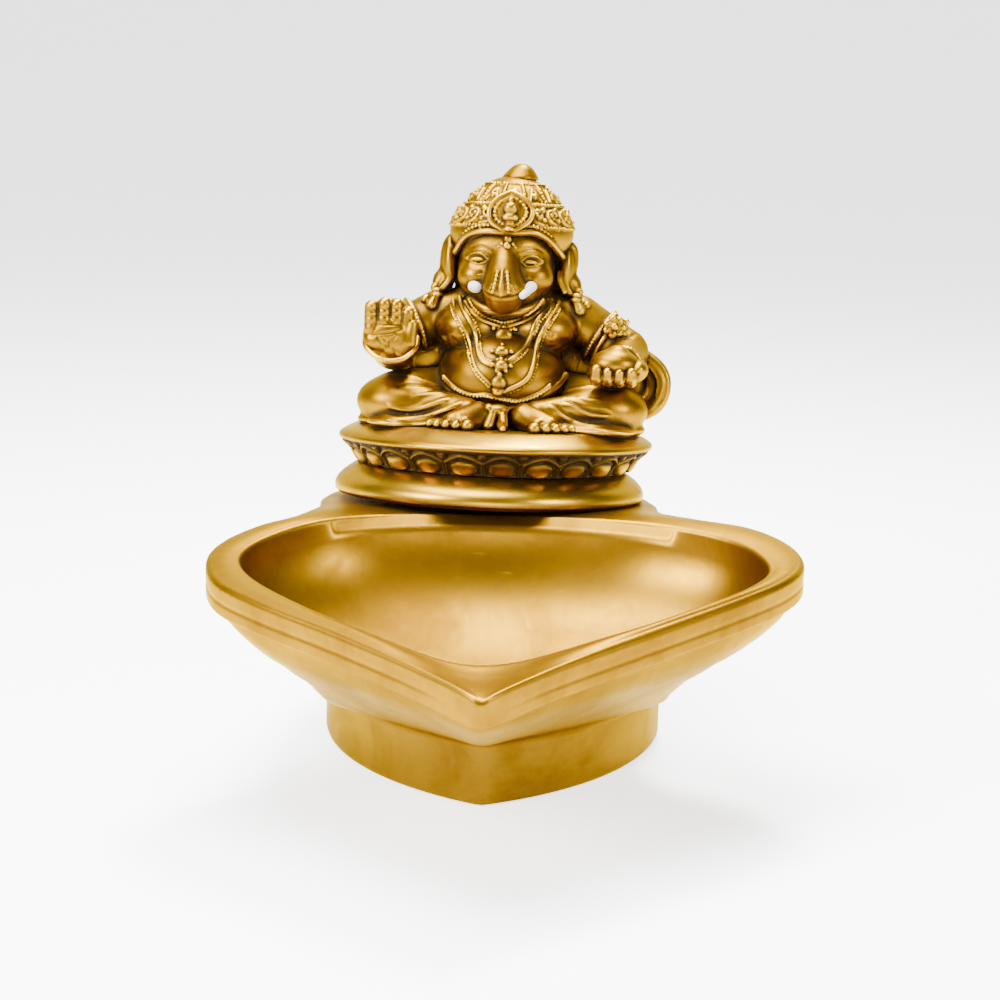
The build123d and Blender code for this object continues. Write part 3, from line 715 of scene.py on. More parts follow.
# ---------------------------------------------------------------- torso and belly
# Broad chest, two soft breasts over a round belly, short neck; the widest part of the casting.
body = Clay("torso_and_belly", (-18, -16, 9.5), (24.5, 10, 37))
body.egg((1.6, 0.8, 27.0), (10.4, 7.0, 7.8), 0, room=9)
body.egg((1.6, 1.6, 30.6), (11.2, 5.2, 4.2), 2.5, room=7)
body.egg((1.4, 1.8, 15.0), (11.6, 8.2, 5.4), 2.0, room=7)
body.egg((-4.3, -3.0, 27.9), (5.5, 5.0, 4.1), 1.2, turn=(12, 0, 0), room=5)
body.egg((7.6, -3.0, 28.0), (5.5, 5.0, 4.1), 1.2, turn=(12, 0, 0), room=5)
body.egg((1.3, -3.0, 19.9), (10.5, 10.2, 7.9), 0.55, room=7)
body.egg((1.5, 1.8, 31.8), (11.0, 4.4, 3.6), 1.5, room=5)
body.egg((-11.2, 2.4, 22.0), (6.0, 2.4, 7.5), 1.2, room=4)
body.egg((16.2, 2.6, 21.0), (7.5, 2.4, 7.5), 1.2, room=4)
body.limb((1.3, -1.0, 31.0), (1.3, -2.4, 34.5), 5.4, 5.0, 1.6, room=4)
body.tube([(-4.2, -5.2, 32.4), (-1.6, -7.2, 31.0), (1.4, -7.8, 30.6), (4.4, -7.2, 31.1), (7.0, -5.2, 32.6)],
          0.9, 0.9)
body.score(body.lay([(-7.0, 26.1), (-5.9, 24.9), (-4.2, 24.9), (-2.4, 25.8)]), 0.35, 0.35)
body.score(body.lay([(4.4, 25.9), (6.6, 25.0), (8.2, 24.8), (9.8, 25.4)]), 0.35, 0.35)
body.score(body.lay([(-6.4, 27.5), (-6.2, 26.9), (-5.6, 27.0), (-5.5, 27.5)]), 0.2, 0.16)
body.score(body.lay([(8.6, 27.6), (8.8, 27.0), (9.4, 27.0), (9.5, 27.5)]), 0.2, 0.16)

# ---------------------------------------------------------------- arms
# Full rounded arms; the right bends forward to the raised palm, the left rests on the knee.
r_arm = Clay("right_arm", (-23, -16, 18), (-4, 8, 36))
r_arm.limb((-9.6, 1.6, 29.4), (-16.4, 0.2, 26.4), 4.3, 3.5, 0.5)
r_arm.limb((-16.8, -0.6, 25.6), (-16.9, -11.8, 24.4), 3.5, 3.0, 1.2)
r_arm.egg((-16.4, -6.0, 22.8), (3.2, 5.5, 2.4), 1.2)
r_arm.grow_from(body, 1.6)
l_arm = Clay("left_arm", (6, -14, 18), (28, 8, 36))
l_arm.limb((13.4, 1.7, 29.5), (21.2, 0.2, 24.9), 4.4, 3.8, 0.5)
l_arm.limb((21.6, -0.6, 24.4), (20.6, -9.6, 22.6), 3.6, 2.6, 1.2)
for a in (0.56, 0.72, 0.86):
    c = np.array((13.4, 1.7, 29.5)) * (1 - a) + np.array((21.4, 0.0, 24.6)) * a
    l_arm.score([c + (-2.6, -2.6, -2.6), c + (-1.0, -4.2, -0.4), c + (1.6, -3.8, 2.0), c + (3.0, -1.6, 3.0)],
                0.35, 0.22)
l_arm.grow_from(body, 1.6)

# ---------------------------------------------------------------- hands
# Right palm raised and turned forward, with finger joints and palm lines; left hand cups a domed sweet.
palm = Clay("raised_palm", (-23.5, -18, 20.5), (-10.5, -9, 34))
palm.egg((-17.0, -12.9, 26.2), (4.25, 2.2, 3.8), 0)
palm.egg((-17.05, -12.7, 28.9), (3.9, 1.45, 3.3), 0.3)
palm.egg((-18.9, -13.7, 25.3), (2.0, 1.3, 2.0), 0.6)
for x, lean, top in ((-19.9, -0.1, 30.7), (-17.9, 0.0, 31.3), (-15.95, 0.0, 31.2), (-14.2, 0.1, 30.0)):
    palm.limb((x, -13.6, 27.2), (x + lean, -13.7, top), 1.18, 1.08, 0.06)
palm.egg((-14.5, -13.9, 25.2), (1.7, 1.4, 2.4), 0.6, turn=(0, 12, 0))
palm.limb((-13.6, -14.3, 25.2), (-13.3, -14.2, 28.2), 1.0, 0.8, 0.3)
for x0, z0, x1, z1 in ((-20.7, 29.2, -19.0, 29.2), (-18.6, 29.4, -16.9, 29.4), (-16.4, 29.5, -14.9, 29.6),
                       (-20.4, 30.1, -19.0, 30.1), (-18.4, 30.5, -17.0, 30.5), (-16.4, 30.6, -15.0, 30.6),
                       (-20.9, 28.0, -14.9, 28.1)):
    palm.score(palm.lay([(x0, z0), ((x0 + x1) / 2, z0 - 0.05), (x1, z1)], smooth=0), 0.17, 0.22)
palm.score(palm.lay([(-20.2, 26.1), (-18.4, 26.5), (-16.6, 26.8), (-14.9, 27.4)]), 0.2, 0.3)
palm.score(palm.lay([(-18.8, 26.1), (-18.0, 25.0), (-17.2, 24.1), (-16.7, 25.2), (-15.8, 26.4)]), 0.18, 0.25)
palm.score(palm.lay([(-18.0, 25.9), (-17.2, 25.3), (-16.9, 24.6)]), 0.16, 0.2)
cup = Clay("resting_palm", (12.5, -18, 18), (27, -7, 27))
cup.egg((19.4, -11.2, 21.7), (4.6, 3.6, 2.3), 0)
cup.egg((23.0, -11.6, 22.4), (1.7, 2.8, 1.7), 0.6)
for x, z in ((16.2, 22.3), (18.0, 21.9), (19.9, 21.8), (21.8, 22.0)):
    cup.limb((x + 0.1, -13.6, 20.5), (x, -14.6, 21.0), 0.95, 0.95, 0.25)
    cup.limb((x, -14.6, 21.0), (x, -14.9, z), 0.95, 0.82, 0.15)
sweet = Clay("domed_sweet", (14, -17, 20), (25, -6.5, 28))
sweet.egg((19.3, -11.6, 23.0), (4.0, 3.5, 2.7), 0)
sweet.egg((19.7, -11.6, 25.3), (1.3, 1.3, 0.9), 1.0)

# ---------------------------------------------------------------- legs, feet and cloth
# Crossed legs in a draped cloth: raised folds sweep from the knees to the waist, hems lie on the seat.
legs = {}
for side, name in ((-1, "right_leg_cloth"), (1, "left_leg_cloth")):
    m = 1.35 + 0.35 * (side > 0)
    lo, hi = (m - 24.8, -17.5, 10.2), (m - 0.5, 6, 22)
    if side > 0:
        lo, hi = (m + 0.5, -17.5, 10.2), (m + 25, 6, 22)
    leg = legs[side] = Clay(name, lo, hi)
    leg.egg((m + side * 15.8, -5.0, 15.4), (7.9, 7.2, 4.7), 0, turn=(0, 0, side * -22), room=4)
    leg.limb((m + side * 5.6, 0.5, 16.8), (m + side * 16.0, -4.2, 15.7), 4.8, 4.7, 1.5)
    leg.limb((m + side * 17.4, -7.2, 14.9), (m + side * 5.4, -12.2, 14.3), 4.2, 2.5, 1.2)
    leg.egg((m + side * 12.4, -9.4, 12.4), (9.6, 6.0, 1.5), 0.7, turn=(0, 0, side * -24))
    leg.egg((m + side * 18.8, -5.0, 12.3), (4.6, 5.0, 1.4), 0.9)
r_leg, l_leg = legs[-1], legs[1]
for pts, w, h in (([(-16.7, 14.8), (-14.4, 14.4), (-12.1, 14.7), (-9.4, 15.7), (-7.1, 16.6)], 0.42, -0.55),
                  ([(-16.4, 14.2), (-13.4, 13.8), (-10.4, 14.4), (-7.4, 15.8)], 0.28, 0.42),
                  ([(-18.0, 13.5), (-14.7, 13.1), (-10.8, 13.6), (-7.7, 14.7), (-5.1, 16.1)], 0.42, -0.5),
                  ([(-17.2, 12.9), (-13.4, 12.6), (-9.4, 13.3), (-6.0, 14.8)], 0.28, 0.4),
                  ([(-15.4, 18.1), (-13.5, 18.5), (-11.1, 18.4), (-9.1, 18.1)], 0.3, 0.42),
                  ([(-14.8, 19.8), (-12.2, 19.3), (-10.0, 18.6), (-8.2, 17.8)], 0.35, -0.4),
                  ([(-12.8, 16.6), (-10.4, 17.1), (-8.0, 17.3)], 0.4, -0.3)):
    r_leg.score(r_leg.lay(pts), w, h)
for pts, w, h in (([(10.4, 17.4), (12.8, 18.6), (15.9, 19.3)], 0.38, -0.45),
                  ([(11.6, 17.3), (13.6, 16.4), (16.0, 15.6), (18.8, 15.3)], 0.28, 0.45),
                  ([(11.2, 16.6), (13.2, 15.8), (15.6, 15.0), (18.2, 14.8)], 0.4, -0.5),
                  ([(9.7, 16.6), (12.1, 15.0), (14.9, 14.0), (17.4, 14.0)], 0.28, 0.42),
                  ([(9.0, 16.2), (11.6, 14.4), (14.6, 13.4), (17.6, 13.3)], 0.4, -0.45),
                  ([(7.8, 15.1), (10.0, 13.5), (13.0, 12.8), (17.8, 12.6)], 0.3, 0.4),
                  ([(13.6, 17.6), (15.6, 17.2), (17.0, 17.3)], 0.35, -0.3)):
    l_leg.score(l_leg.lay(pts), w, h)
feet = {}
for side, name, m in ((-1, "right_bare_foot", 1.3), (1, "left_bare_foot", 1.5)):
    f = feet[side] = Clay(name, (m + min(side * 1, side * 14), -21.5, 10.8),
                          (m + max(side * 1, side * 14), -9, 18.5))
    f.limb((m + side * 3.6, -13.6, 14.3), (m + side * 7.6, -16.6, 13.1), 2.1, 1.6, 0)
    f.limb((m + side * 3.2, -14.0, 13.6), (m + side * 5.6, -17.2, 13.0), 1.7, 1.4, 0.7)
    for i, (dx, y, r) in enumerate(((5.2, -18.9, 1.05), (7.0, -18.6, 0.86), (8.6, -18.1, 0.80),
                                    (10.0, -17.5, 0.74), (11.2, -16.8, 0.66))):
        f.limb((m + side * (5.0 + 1.25 * i), -16.4 + 0.2 * i, 13.0), (m + side * dx, y, 12.75), r * 0.95, r,
               0.12)
sash = Clay("knotted_sash", (-11, -22, 10.6), (14, -3, 23.5))
sash.tube(body.lay([(-9.4, 19.6), (-7.4, 17.9), (-5.2, 16.6), (-2.2, 15.7), (1.0, 15.3), (4.2, 15.8),
                    (7.4, 17.2),
                    (10.2, 19.2), (11.6, 20.8)], -0.15, 4), 0.62, 0)
sash.egg((0.8, -14.2, 15.2), (1.9, 1.3, 0.95), 0.2)
sash.egg((-0.6, -14.3, 15.4), (0.9, 1.0, 0.8), 0.1)
sash.limb((0.1, -14.6, 14.8), (-0.6, -15.6, 12.6), 0.75, 1.0, 0.2)
sash.limb((1.6, -14.6, 14.8), (1.8, -16.8, 12.6), 0.75, 0.8, 0.2)
sash.limb((1.4, -16.0, 13.0), (1.7, -19.4, 12.4), 0.75, 0.55, 0.2)
scarf = Clay("scarf_loop", (18, -4, 11.5), (31.5, 8, 29.5))
scarf.tube([(19.8, 3.6, 27.4), (22.4, 2.2, 25.0), (25.0, 1.0, 23.9), (27.1, 0.4, 22.3), (28.1, 0.0, 20.2),
            (27.9, -0.2, 17.8),
            (26.8, -0.2, 15.9), (24.6, 0.4, 14.6), (21.8, 2.0, 13.8)], 1.25, 0)
scarf.tube([(20.4, 4.4, 26.2), (24.4, 2.6, 22.4), (26.2, 1.8, 20.0), (25.8, 1.4, 17.2), (23.0, 2.2, 15.2)],
           1.3, 0.5)
scarf.egg((24.2, 3.0, 19.8), (3.2, 1.6, 4.6), 0.6)
scarf.score([(22.6, 0.9, 25.3), (25.2, -0.2, 24.2), (27.4, -0.8, 22.4), (28.4, -1.2, 20.2),
             (28.1, -1.4, 17.8), (26.9, -1.4, 15.8)], 0.28, 0.35)
scarf.score([(24.6, -0.1, 23.2), (26.2, -0.6, 21.6), (27.0, -0.9, 19.8), (26.8, -1.1, 17.8)], 0.3, -0.3)

# ---------------------------------------------------------------- head, trunk, tusks and ears
# Round elephant head with full cheeks, half-closed almond eyes, thin brows, a short decorated trunk held
# close to the chin, two ivory-white tusks, and narrow folded ears with drop earrings.
head = Clay("head_and_face", (-9.5, -12, 28.5), (12.5, 9, 46))
head.egg((1.15, -0.8, 37.4), (7.9, 7.2, 7.5), 0, room=6)
head.egg((1.2, -3.6, 41.0), (6.9, 4.9, 4.2), 2.0, room=5)
head.egg((1.6, 3.0, 37.6), (9.6, 4.6, 6.6), 1.2, room=5)
head.egg((1.6, 2.0, 33.0), (9.4, 3.2, 3.2), 1.2, room=4)
head.egg((-3.3, -4.9, 36.2), (3.3, 3.3, 3.0), 1.4)
head.egg((5.6, -4.9, 36.3), (3.3, 3.3, 3.0), 1.4)
head.egg((1.3, -4.6, 33.6), (5.2, 4.6, 2.9), 1.6)
head.egg((-3.4, -8.9, 39.0), (2.5, 1.6, 1.25), 0.7, turn=(0, 0, -18), cut=True)
head.egg((5.2, -8.9, 38.9), (2.5, 1.6, 1.25), 0.7, turn=(0, 0, 18), cut=True)
head.limb((0.9, -7.4, 41.2), (0.8, -8.4, 38.8), 0.9, 1.6, 1.3)
head.score(head.lay([(-5.1, 40.6), (-4.0, 41.05), (-2.6, 41.0), (-0.9, 40.3)]), 0.17, 0.2)
head.score(head.lay([(2.9, 40.3), (4.4, 41.0), (6.0, 41.1), (7.5, 40.3)]), 0.17, 0.2)
trunk = Clay("short_trunk", (-4.5, -15, 29.2), (6.5, -4, 42))
trunk.limb((0.8, -7.2, 40.2), (0.8, -8.6, 37.0), 1.4, 2.4, 0)
trunk.limb((0.8, -8.6, 37.0), (1.0, -9.2, 34.3), 2.4, 3.3, 1.0)
trunk.limb((1.0, -9.2, 34.3), (1.0, -8.9, 32.9), 3.3, 2.7, 1.0)
trunk.grow_from(head, 1.1)
trunk.score(trunk.lay([(0.6, 37.6), (0.5, 35.6), (0.5, 34.2), (0.6, 32.8)]), 0.24, -0.35)
trunk.score(trunk.lay([(0.05, 37.4), (-0.15, 35.4), (-0.3, 33.6)]), 0.2, 0.3)
trunk.score(trunk.lay([(1.1, 37.4), (1.15, 35.4), (1.2, 33.6)]), 0.2, 0.3)
trunk.score(trunk.lay([(-2.5, 34.0), (-1.1, 33.25), (0.8, 32.95), (2.8, 33.35), (4.1, 34.3)]), 0.2, 0.4)
trunk.beads(trunk.lay([(-0.2, 37.1), (-0.5, 35.2), (-0.9, 33.8)], 0.12), 0.34, 0.6)
trunk.beads(trunk.lay([(1.35, 37.1), (1.6, 35.2), (1.75, 33.9)], 0.12), 0.34, 0.6)
trunk.beads(trunk.lay([(-1.0, 35.0), (-1.5, 34.0)]), 0.22, 0.45)
trunk.beads(trunk.lay([(2.2, 35.0), (2.6, 34.2)]), 0.22, 0.45)
eye_clays = []
for name, x, z, s in (("right_almond_eye", -3.4, 38.95, 1), ("left_almond_eye", 5.15, 38.85, -1)):
    e = Clay(name, (x - 3.4, -10.5, z - 2.4), (x + 3.4, -3, z + 2.4))
    y = float(head.front([x], [z])[0])
    e.egg((x, y + 0.35, z), (1.5, 0.85, 0.52), 0, turn=(0, 0, -14 * s))
    top = [(x - 1.95, z + 0.15), (x - 0.8, z + 0.95), (x + 0.6, z + 0.95), (x + 1.9, z - 0.15)]
    low = [(x - 1.8, z + 0.05), (x - 0.6, z - 0.72), (x + 0.6, z - 0.72), (x + 1.8, z - 0.05)]
    if s < 0:
        top = [(x - 1.9, z - 0.15), (x - 0.6, z + 0.95), (x + 0.8, z + 0.95), (x + 1.95, z + 0.2)]
    e.tube(head.lay(top, -0.05, 1), 0.26, 0.0)
    e.tube(head.lay(low, -0.05, 1), 0.22, 0.0)
    e.tube(head.lay([(px, pz + 0.55) for px, pz in top[0:4]], 0.0, 1), 0.14, 0.0)
    eye_clays.append(e)
tusks = []
t = Clay("right_ivory_tusk", (-6.5, -12, 31.5), (-1, -5, 37))
t.egg((-3.75, -8.3, 34.5), (1.15, 1.4, 0.95), 0, turn=(0, 20, 0))
tusks.append(t)
t = Clay("left_ivory_tusk", (2, -14, 31), (8, -5, 37))
t.limb((5.4, -7.6, 35.0), (4.0, -11.4, 33.5), 0.95, 0.62, 0)
tusks.append(t)
ears = {}
e = ears[-1] = Clay("right_ear_flap", (-13.5, -5, 31), (-5, 8, 45))
e.tube([(-7.4, 0.4, 42.6), (-8.6, 0.6, 41.2), (-9.0, 0.8, 38.8), (-9.1, 0.8, 36.4), (-9.9, 0.2, 34.9),
        (-10.4, -0.6, 34.0)], 0.75, 0)
e.tube([(-7.6, -0.6, 40.6), (-7.7, -0.8, 38.4), (-7.6, -0.9, 36.6), (-8.2, -1.2, 35.2), (-9.2, -1.2, 34.0)],
       0.5, 0.2)
e.egg((-8.2, 1.6, 38.2), (1.3, 3.4, 4.8), 0.6)
e.egg((-9.2, 0.6, 35.2), (1.6, 1.6, 2.0), 0.6)
e = ears[1] = Clay("left_ear_flap", (8, -5, 31), (16.5, 8, 45))
e.tube([(10.6, 0.4, 42.2), (12.1, 0.6, 41.4), (12.4, 0.8, 39.0), (12.0, 0.8, 36.6), (12.8, 0.2, 35.0),
        (13.4, -0.6, 34.2)], 0.75, 0)
e.tube([(10.2, -0.6, 39.8), (11.2, -0.8, 38.6), (10.9, -0.9, 36.6), (11.3, -1.2, 35.0), (12.0, -1.2, 34.0)],
       0.5, 0.2)
e.tube([(10.0, -0.9, 37.4), (10.1, -1.3, 35.8), (11.0, -1.6, 34.2)], 0.42, 0.2)
e.egg((11.2, 1.6, 38.0), (1.5, 3.4, 4.8), 0.6)
e.egg((12.2, 0.6, 35.2), (1.6, 1.6, 2.0), 0.6)
drops = {}
for side, name, x, z in ((-1, "right_earring_drop", -9.9, 33.2), (1, "left_earring_drop", 12.8, 33.2)):
    d = drops[side] = Clay(name, (x - 4, -6, 28.5), (x + 4.5, 3, 36))
    d.egg((x + 0.1 * side, -1.6, z + 0.5), (0.85, 0.8, 0.45), 0)
    d.egg((x + 0.1 * side, -1.8, z - 0.2), (1.0, 0.9, 0.4), 0.05)
    d.limb((x + 0.25 * side, -2.0, z - 0.7), (x + 0.8 * side, -2.4, z - 1.9), 0.7, 1.0, 0.15)
    d.egg((x + 1.9 * side, -1.2, z - 1.2), (0.8, 0.8, 0.9), 0.1)
    d.score([(x + 0.1 * side, -2.6, z - 0.6), (x + 0.7 * side, -3.3, z - 2.2)], 0.2, 0.2)

# ---------------------------------------------------------------- crown
# Domed crown: smooth rim and a bead row over the brow, leaf scrolls, beaded ribs, a jewelled crest in
# front with a vase in a beaded leaf frame, and a plain bud finial on a dark neck line.
dome = Clay("domed_crown", (-11, -12, 37), (15, 12, 54.5))
dome.egg((1.9, 0.7, 43.6), (10.2, 9.4, 6.4), 0, room=6)
dome.egg((2.1, 0.7, 46.0), (7.6, 7.2, 6.9), 2.2, room=6)
part, x, y, z = dome.window((-11, -12, 37), (15, 12, 54.5))
brow = 43.2 - 3.0 * (np.abs(x - 1.6) / 8.3) ** 3.2 - 4.5 * np.clip((y + 2.0) / 9, 0, 1)
dome.d[part] = np.maximum(dome.d[part], brow - z)


def on_dome(angle, z, lift=0.0):
    """A point on the crown's surface at an angle round it and a height, sunk or lifted a little."""
    r = np.arange(2, 13, 0.12)
    p = np.stack([2.0 + np.cos(angle) * r, 0.7 + np.sin(angle) * r, 0 * r + z])
    k = np.clip(np.round(p / H).astype(int) - dome.i0[:, None], 0, dome.n[:, None] - 1)
    out = r[np.argmax(dome_skin[k[0], k[1], k[2]] > 0)] + lift
    return (2.0 + math.cos(angle) * out, 0.7 + math.sin(angle) * out, z)


dome_skin = dome.d.copy()
for i in range(20):                                   # scrolls and leaves round the broad band
    a, way = math.radians(-90 + 18 * (i + 0.5)), 1 if i < 10 else -1
    curl = [(0.14, 44.9), (0.02, 45.0), (-0.09, 45.7), (-0.08, 46.7), (0.02, 47.2), (0.10, 46.8),
            (0.09, 46.1), (0.01, 46.0)]
    dome.tube([on_dome(a + way * da, z, 0.05) for da, z in curl], 0.30, 0.05, 0.2)
    dome.egg(on_dome(a + way * 0.13, 47.2, 0.0), (0.5, 0.5, 0.6), 0.1, room=0.8)
    dome.egg(on_dome(a - way * 0.02, 46.5, 0.1), (0.34, 0.34, 0.34), 0.05, room=0.8)
    dome.egg(on_dome(a + way * 0.12, 45.6, 0.0), (0.42, 0.42, 0.36), 0.05, room=0.8)
for z, step, r in ((44.5, 0.085, 0.27), (48.1, 0.10, 0.30), (51.5, 0.2, 0.26)):
    dome.beads([on_dome(w, z, 0.08) for w in np.arange(0, 2 * math.pi, step)], r, 0.62)
for i in range(12):                                   # ribs and drops on the upper dome
    a = math.radians(-90 + 30 * (i + 0.5))
    dome.beads([on_dome(a, z, 0.05) for z in (48.6, 49.5, 50.4, 51.3)], 0.30, 0.6)
    dome.tube([on_dome(a + 0.12, 48.7, 0.0), on_dome(a + 0.2, 50.0, 0.05), on_dome(a + 0.26, 50.7, 0.05),
               on_dome(a + 0.32, 50.0, 0.05), on_dome(a + 0.40, 48.7, 0.0)], 0.24, 0.05)
    dome.egg(on_dome(a + 0.26, 49.4, 0.05), (0.45, 0.45, 0.55), 0.1, room=0.8)
band = Clay("crown_rim", (-10, -12, 37.5), (13, 5, 46))
rim_line = [(-7.6, 0.6, 39.4), (-6.9, -3.0, 40.4)] + [tuple(p) for p in dome.lay(
    [(-5.9, 42.1), (-4.7, 43.05), (-2.6, 43.5), (-0.2, 43.5), (1.6, 43.4), (3.4, 43.55), (5.6, 43.6),
     (7.5, 42.8), (8.7, 41.7)],
    0.0, 2)[::3]] + [(10.0, -3.0, 40.3), (11.0, 0.6, 39.4)]
band.tube(rim_line, 0.55, 0)
band.beads([(p[0], p[1] - 0.1, p[2] + 0.95) for p in rim_line[1:-1]], 0.33, 0.72)
crest = Clay("jewelled_crest", (-4.5, -14, 41.5), (7.5, -4, 52))
plate_y = float(dome.front([1.5], [46.5])[0])
crest.egg((1.5, plate_y + 0.4, 46.7), (3.4, 1.3, 3.5), 0, turn=(-12, 0, 0))
frame_line = [(x, plate_y + back, z) for x, back, z in (
    (1.5, 0.6, 50.0), (-0.6, 0.1, 48.9), (-1.9, -0.3, 47.1), (-1.6, -0.6, 45.2), (-0.2, -0.7, 44.1),
    (1.4, -0.7, 43.4),
    (3.1, -0.7, 44.2), (4.6, -0.6, 45.5), (5.0, -0.3, 47.3), (3.6, 0.1, 49.0), (1.5, 0.6, 50.0))]
crest.tube(frame_line, 0.42, 0.05)
crest.beads([(1.5 + (p[0] - 1.5) * 0.74, p[1] - 0.25, 46.7 + (p[2] - 46.7) * 0.74) for p in frame_line], 0.3,
            0.62)
for c, r in (((1.5, plate_y - 1.0, 47.3), (1.15, 0.9, 1.05)), ((1.5, plate_y - 1.1, 45.9), (1.35, 0.9, 0.8)),
             ((1.5, plate_y - 1.0, 44.9), (0.8, 0.7, 0.5)), ((1.5, plate_y - 0.6, 48.6), (0.5, 0.6, 0.55)),
             ((1.4, plate_y - 1.0, 44.0), (0.95, 0.8, 0.5))):
    crest.egg(c, r, 0.1)
bud = Clay("bud_finial", (-2, -4, 50.5), (8, 6.5, 56.5))
bud.egg((2.9, 1.0, 52.3), (3.05, 3.05, 1.5), 0)
bud.egg((3.1, 1.0, 53.4), (1.9, 1.9, 1.5), 1.4)
part, x, y, z = bud.window((-2, -4, 50.5), (8, 6.5, 56.5))
bud.d[part] = np.maximum(bud.d[part], 52.25 - z)
bud.egg((2.8, 1.0, 51.9), (2.6, 2.6, 1.2), 0)
brow_drop = Clay("brow_drop", (-1.5, -11.5, 39.5), (4, -5, 44.2))
for x, z, r in ((1.25, 42.4, 0.68), (1.15, 41.3, 0.62), (0.3, 41.6, 0.3), (2.1, 41.6, 0.3),
                (-0.2, 41.1, 0.26), (2.5, 41.1, 0.26)):
    brow_drop.egg((x, float(head.front([x], [z])[0]) - 0.1, z), (r, r * 0.8, r * 1.1), 0.05)

# ---------------------------------------------------------------- necklaces, chains and rings
# Beaded collar, long double-strand necklaces over both breasts, a row of pendants down the belly, a chain
# under the belly, bracelets, and an armlet with a flower.
def strand(clay, xz, row, bead, side):
    """A cord laid over the body with a row of beads beside it."""
    line = body.lay(xz, 0.12, 4)
    clay.tube(line, row, 0.0)
    d = np.gradient(line, axis=0)
    across = np.stack([-d[:, 2], 0 * d[:, 0], d[:, 0]], 1)
    across /= np.maximum(np.linalg.norm(across, axis=1)[:, None], 1e-6)
    beside = line + across * side
    beside[:, 1] = body.front(beside[:, 0], beside[:, 2]) - 0.12
    clay.beads(beside[::2], bead, 0.56)


collar = Clay("beaded_collar", (-7, -14, 26), (10, 0, 35))
strand(collar, [(-5.2, 32.0), (-4.2, 30.5), (-2.4, 29.2), (0.0, 28.4), (1.4, 28.2), (4.5, 29.3), (6.9, 31.0),
                (8.2, 32.8)], 0.4, 0.34, 0.75)
for x in (-0.4, 0.5, 1.4, 2.3, 3.1):
    collar.egg((x, float(body.front([x], [27.7])[0]) - 0.2, 27.7 + 0.1 * abs(x - 1.4)), (0.42, 0.4, 0.42),
               0.05)
r_cord = Clay("right_neck_strands", (-10, -16, 16), (3, 0, 35))
strand(r_cord, [(-7.3, 32.4), (-6.9, 30.8), (-6.1, 29.2), (-4.9, 27.3), (-4.1, 25.1), (-3.5, 22.8),
                (-2.6, 21.1), (-0.4, 19.1)], 0.3, 0.27, -0.55)
strand(r_cord, [(-6.2, 32.6), (-5.6, 30.7), (-4.6, 29.3), (-3.6, 27.8), (-3.1, 26.2), (-2.8, 24.2),
                (-2.0, 22.8), (-0.4, 22.1)], 0.46, 0.27, 0.62)
l_cord = Clay("left_neck_strands", (0, -16, 15), (13, 0, 36))
strand(l_cord, [(8.8, 32.8), (8.0, 31.2), (6.5, 29.4), (5.6, 26.9), (4.5, 24.8), (2.2, 22.9)], 0.46, 0.27,
       0.62)
strand(l_cord, [(10.0, 32.4), (9.4, 31.0), (8.2, 29.1), (7.2, 27.1), (6.5, 24.8), (6.1, 22.1), (4.9, 19.8),
                (1.6, 18.0)], 0.46, 0.27, 0.62)
pend = Clay("pendant_row", (-2.5, -17, 16), (5, -6, 30))
for x, z, rx, rz in ((1.3, 26.7, 1.45, 1.35), (1.05, 24.4, 1.25, 0.95), (1.1, 22.2, 1.15, 0.95),
                     (0.85, 20.8, 0.5, 0.5),
                     (0.8, 19.5, 1.2, 1.15), (0.7, 17.9, 0.9, 0.7), (1.3, 28.2, 0.5, 0.4),
                     (1.1, 25.5, 0.45, 0.35), (1.0, 23.3, 0.5, 0.4)):
    pend.egg((x, float(body.front([x], [z])[0]) - 0.25, z), (rx, 0.75, rz), 0.08)
for x, z in ((-0.5, 24.4), (2.6, 24.4), (-0.4, 22.3), (2.6, 22.2), (0.4, 23.0), (1.8, 23.0), (0.4, 21.4),
             (1.8, 21.4), (0.1, 18.3), (1.4, 18.2)):
    pend.egg((x, float(body.front([x], [z])[0]) - 0.15, z), (0.42, 0.45, 0.42), 0.06)
chain = Clay("belly_chain_beads", (-10, -16, 14.5), (13, -3, 23))
line = body.lay([(-8.2, 19.8), (-6.2, 18.2), (-3.8, 17.3), (-1.3, 17.5), (0.7, 17.2), (4.1, 16.8),
                 (7.2, 17.9), (9.0, 19.2)], 0.1)
chain.tube(line, 0.36, 0.0)
chain.beads(line[::2] - (0, 0.2, 0.35), 0.3, 0.62)


def hoop(clay, centre, axis, r, wire, bead=0.0):
    """A ring round a limb, with a row of beads on its crest if asked."""
    axis = np.array(axis, float) / np.linalg.norm(axis)
    u = np.cross(axis, (0, 0, 1.0))
    u /= np.linalg.norm(u)
    v = np.cross(axis, u)
    a = np.linspace(0, 2 * math.pi, 41)
    pts = [np.array(centre) + r * (math.cos(t) * u + math.sin(t) * v) for t in a]
    clay.tube(pts, wire, 0)
    if bead:
        clay.beads([np.array(centre) + (r + wire * 0.75) * (math.cos(t) * u + math.sin(t) * v) for t in a],
                   bead, 0.62)


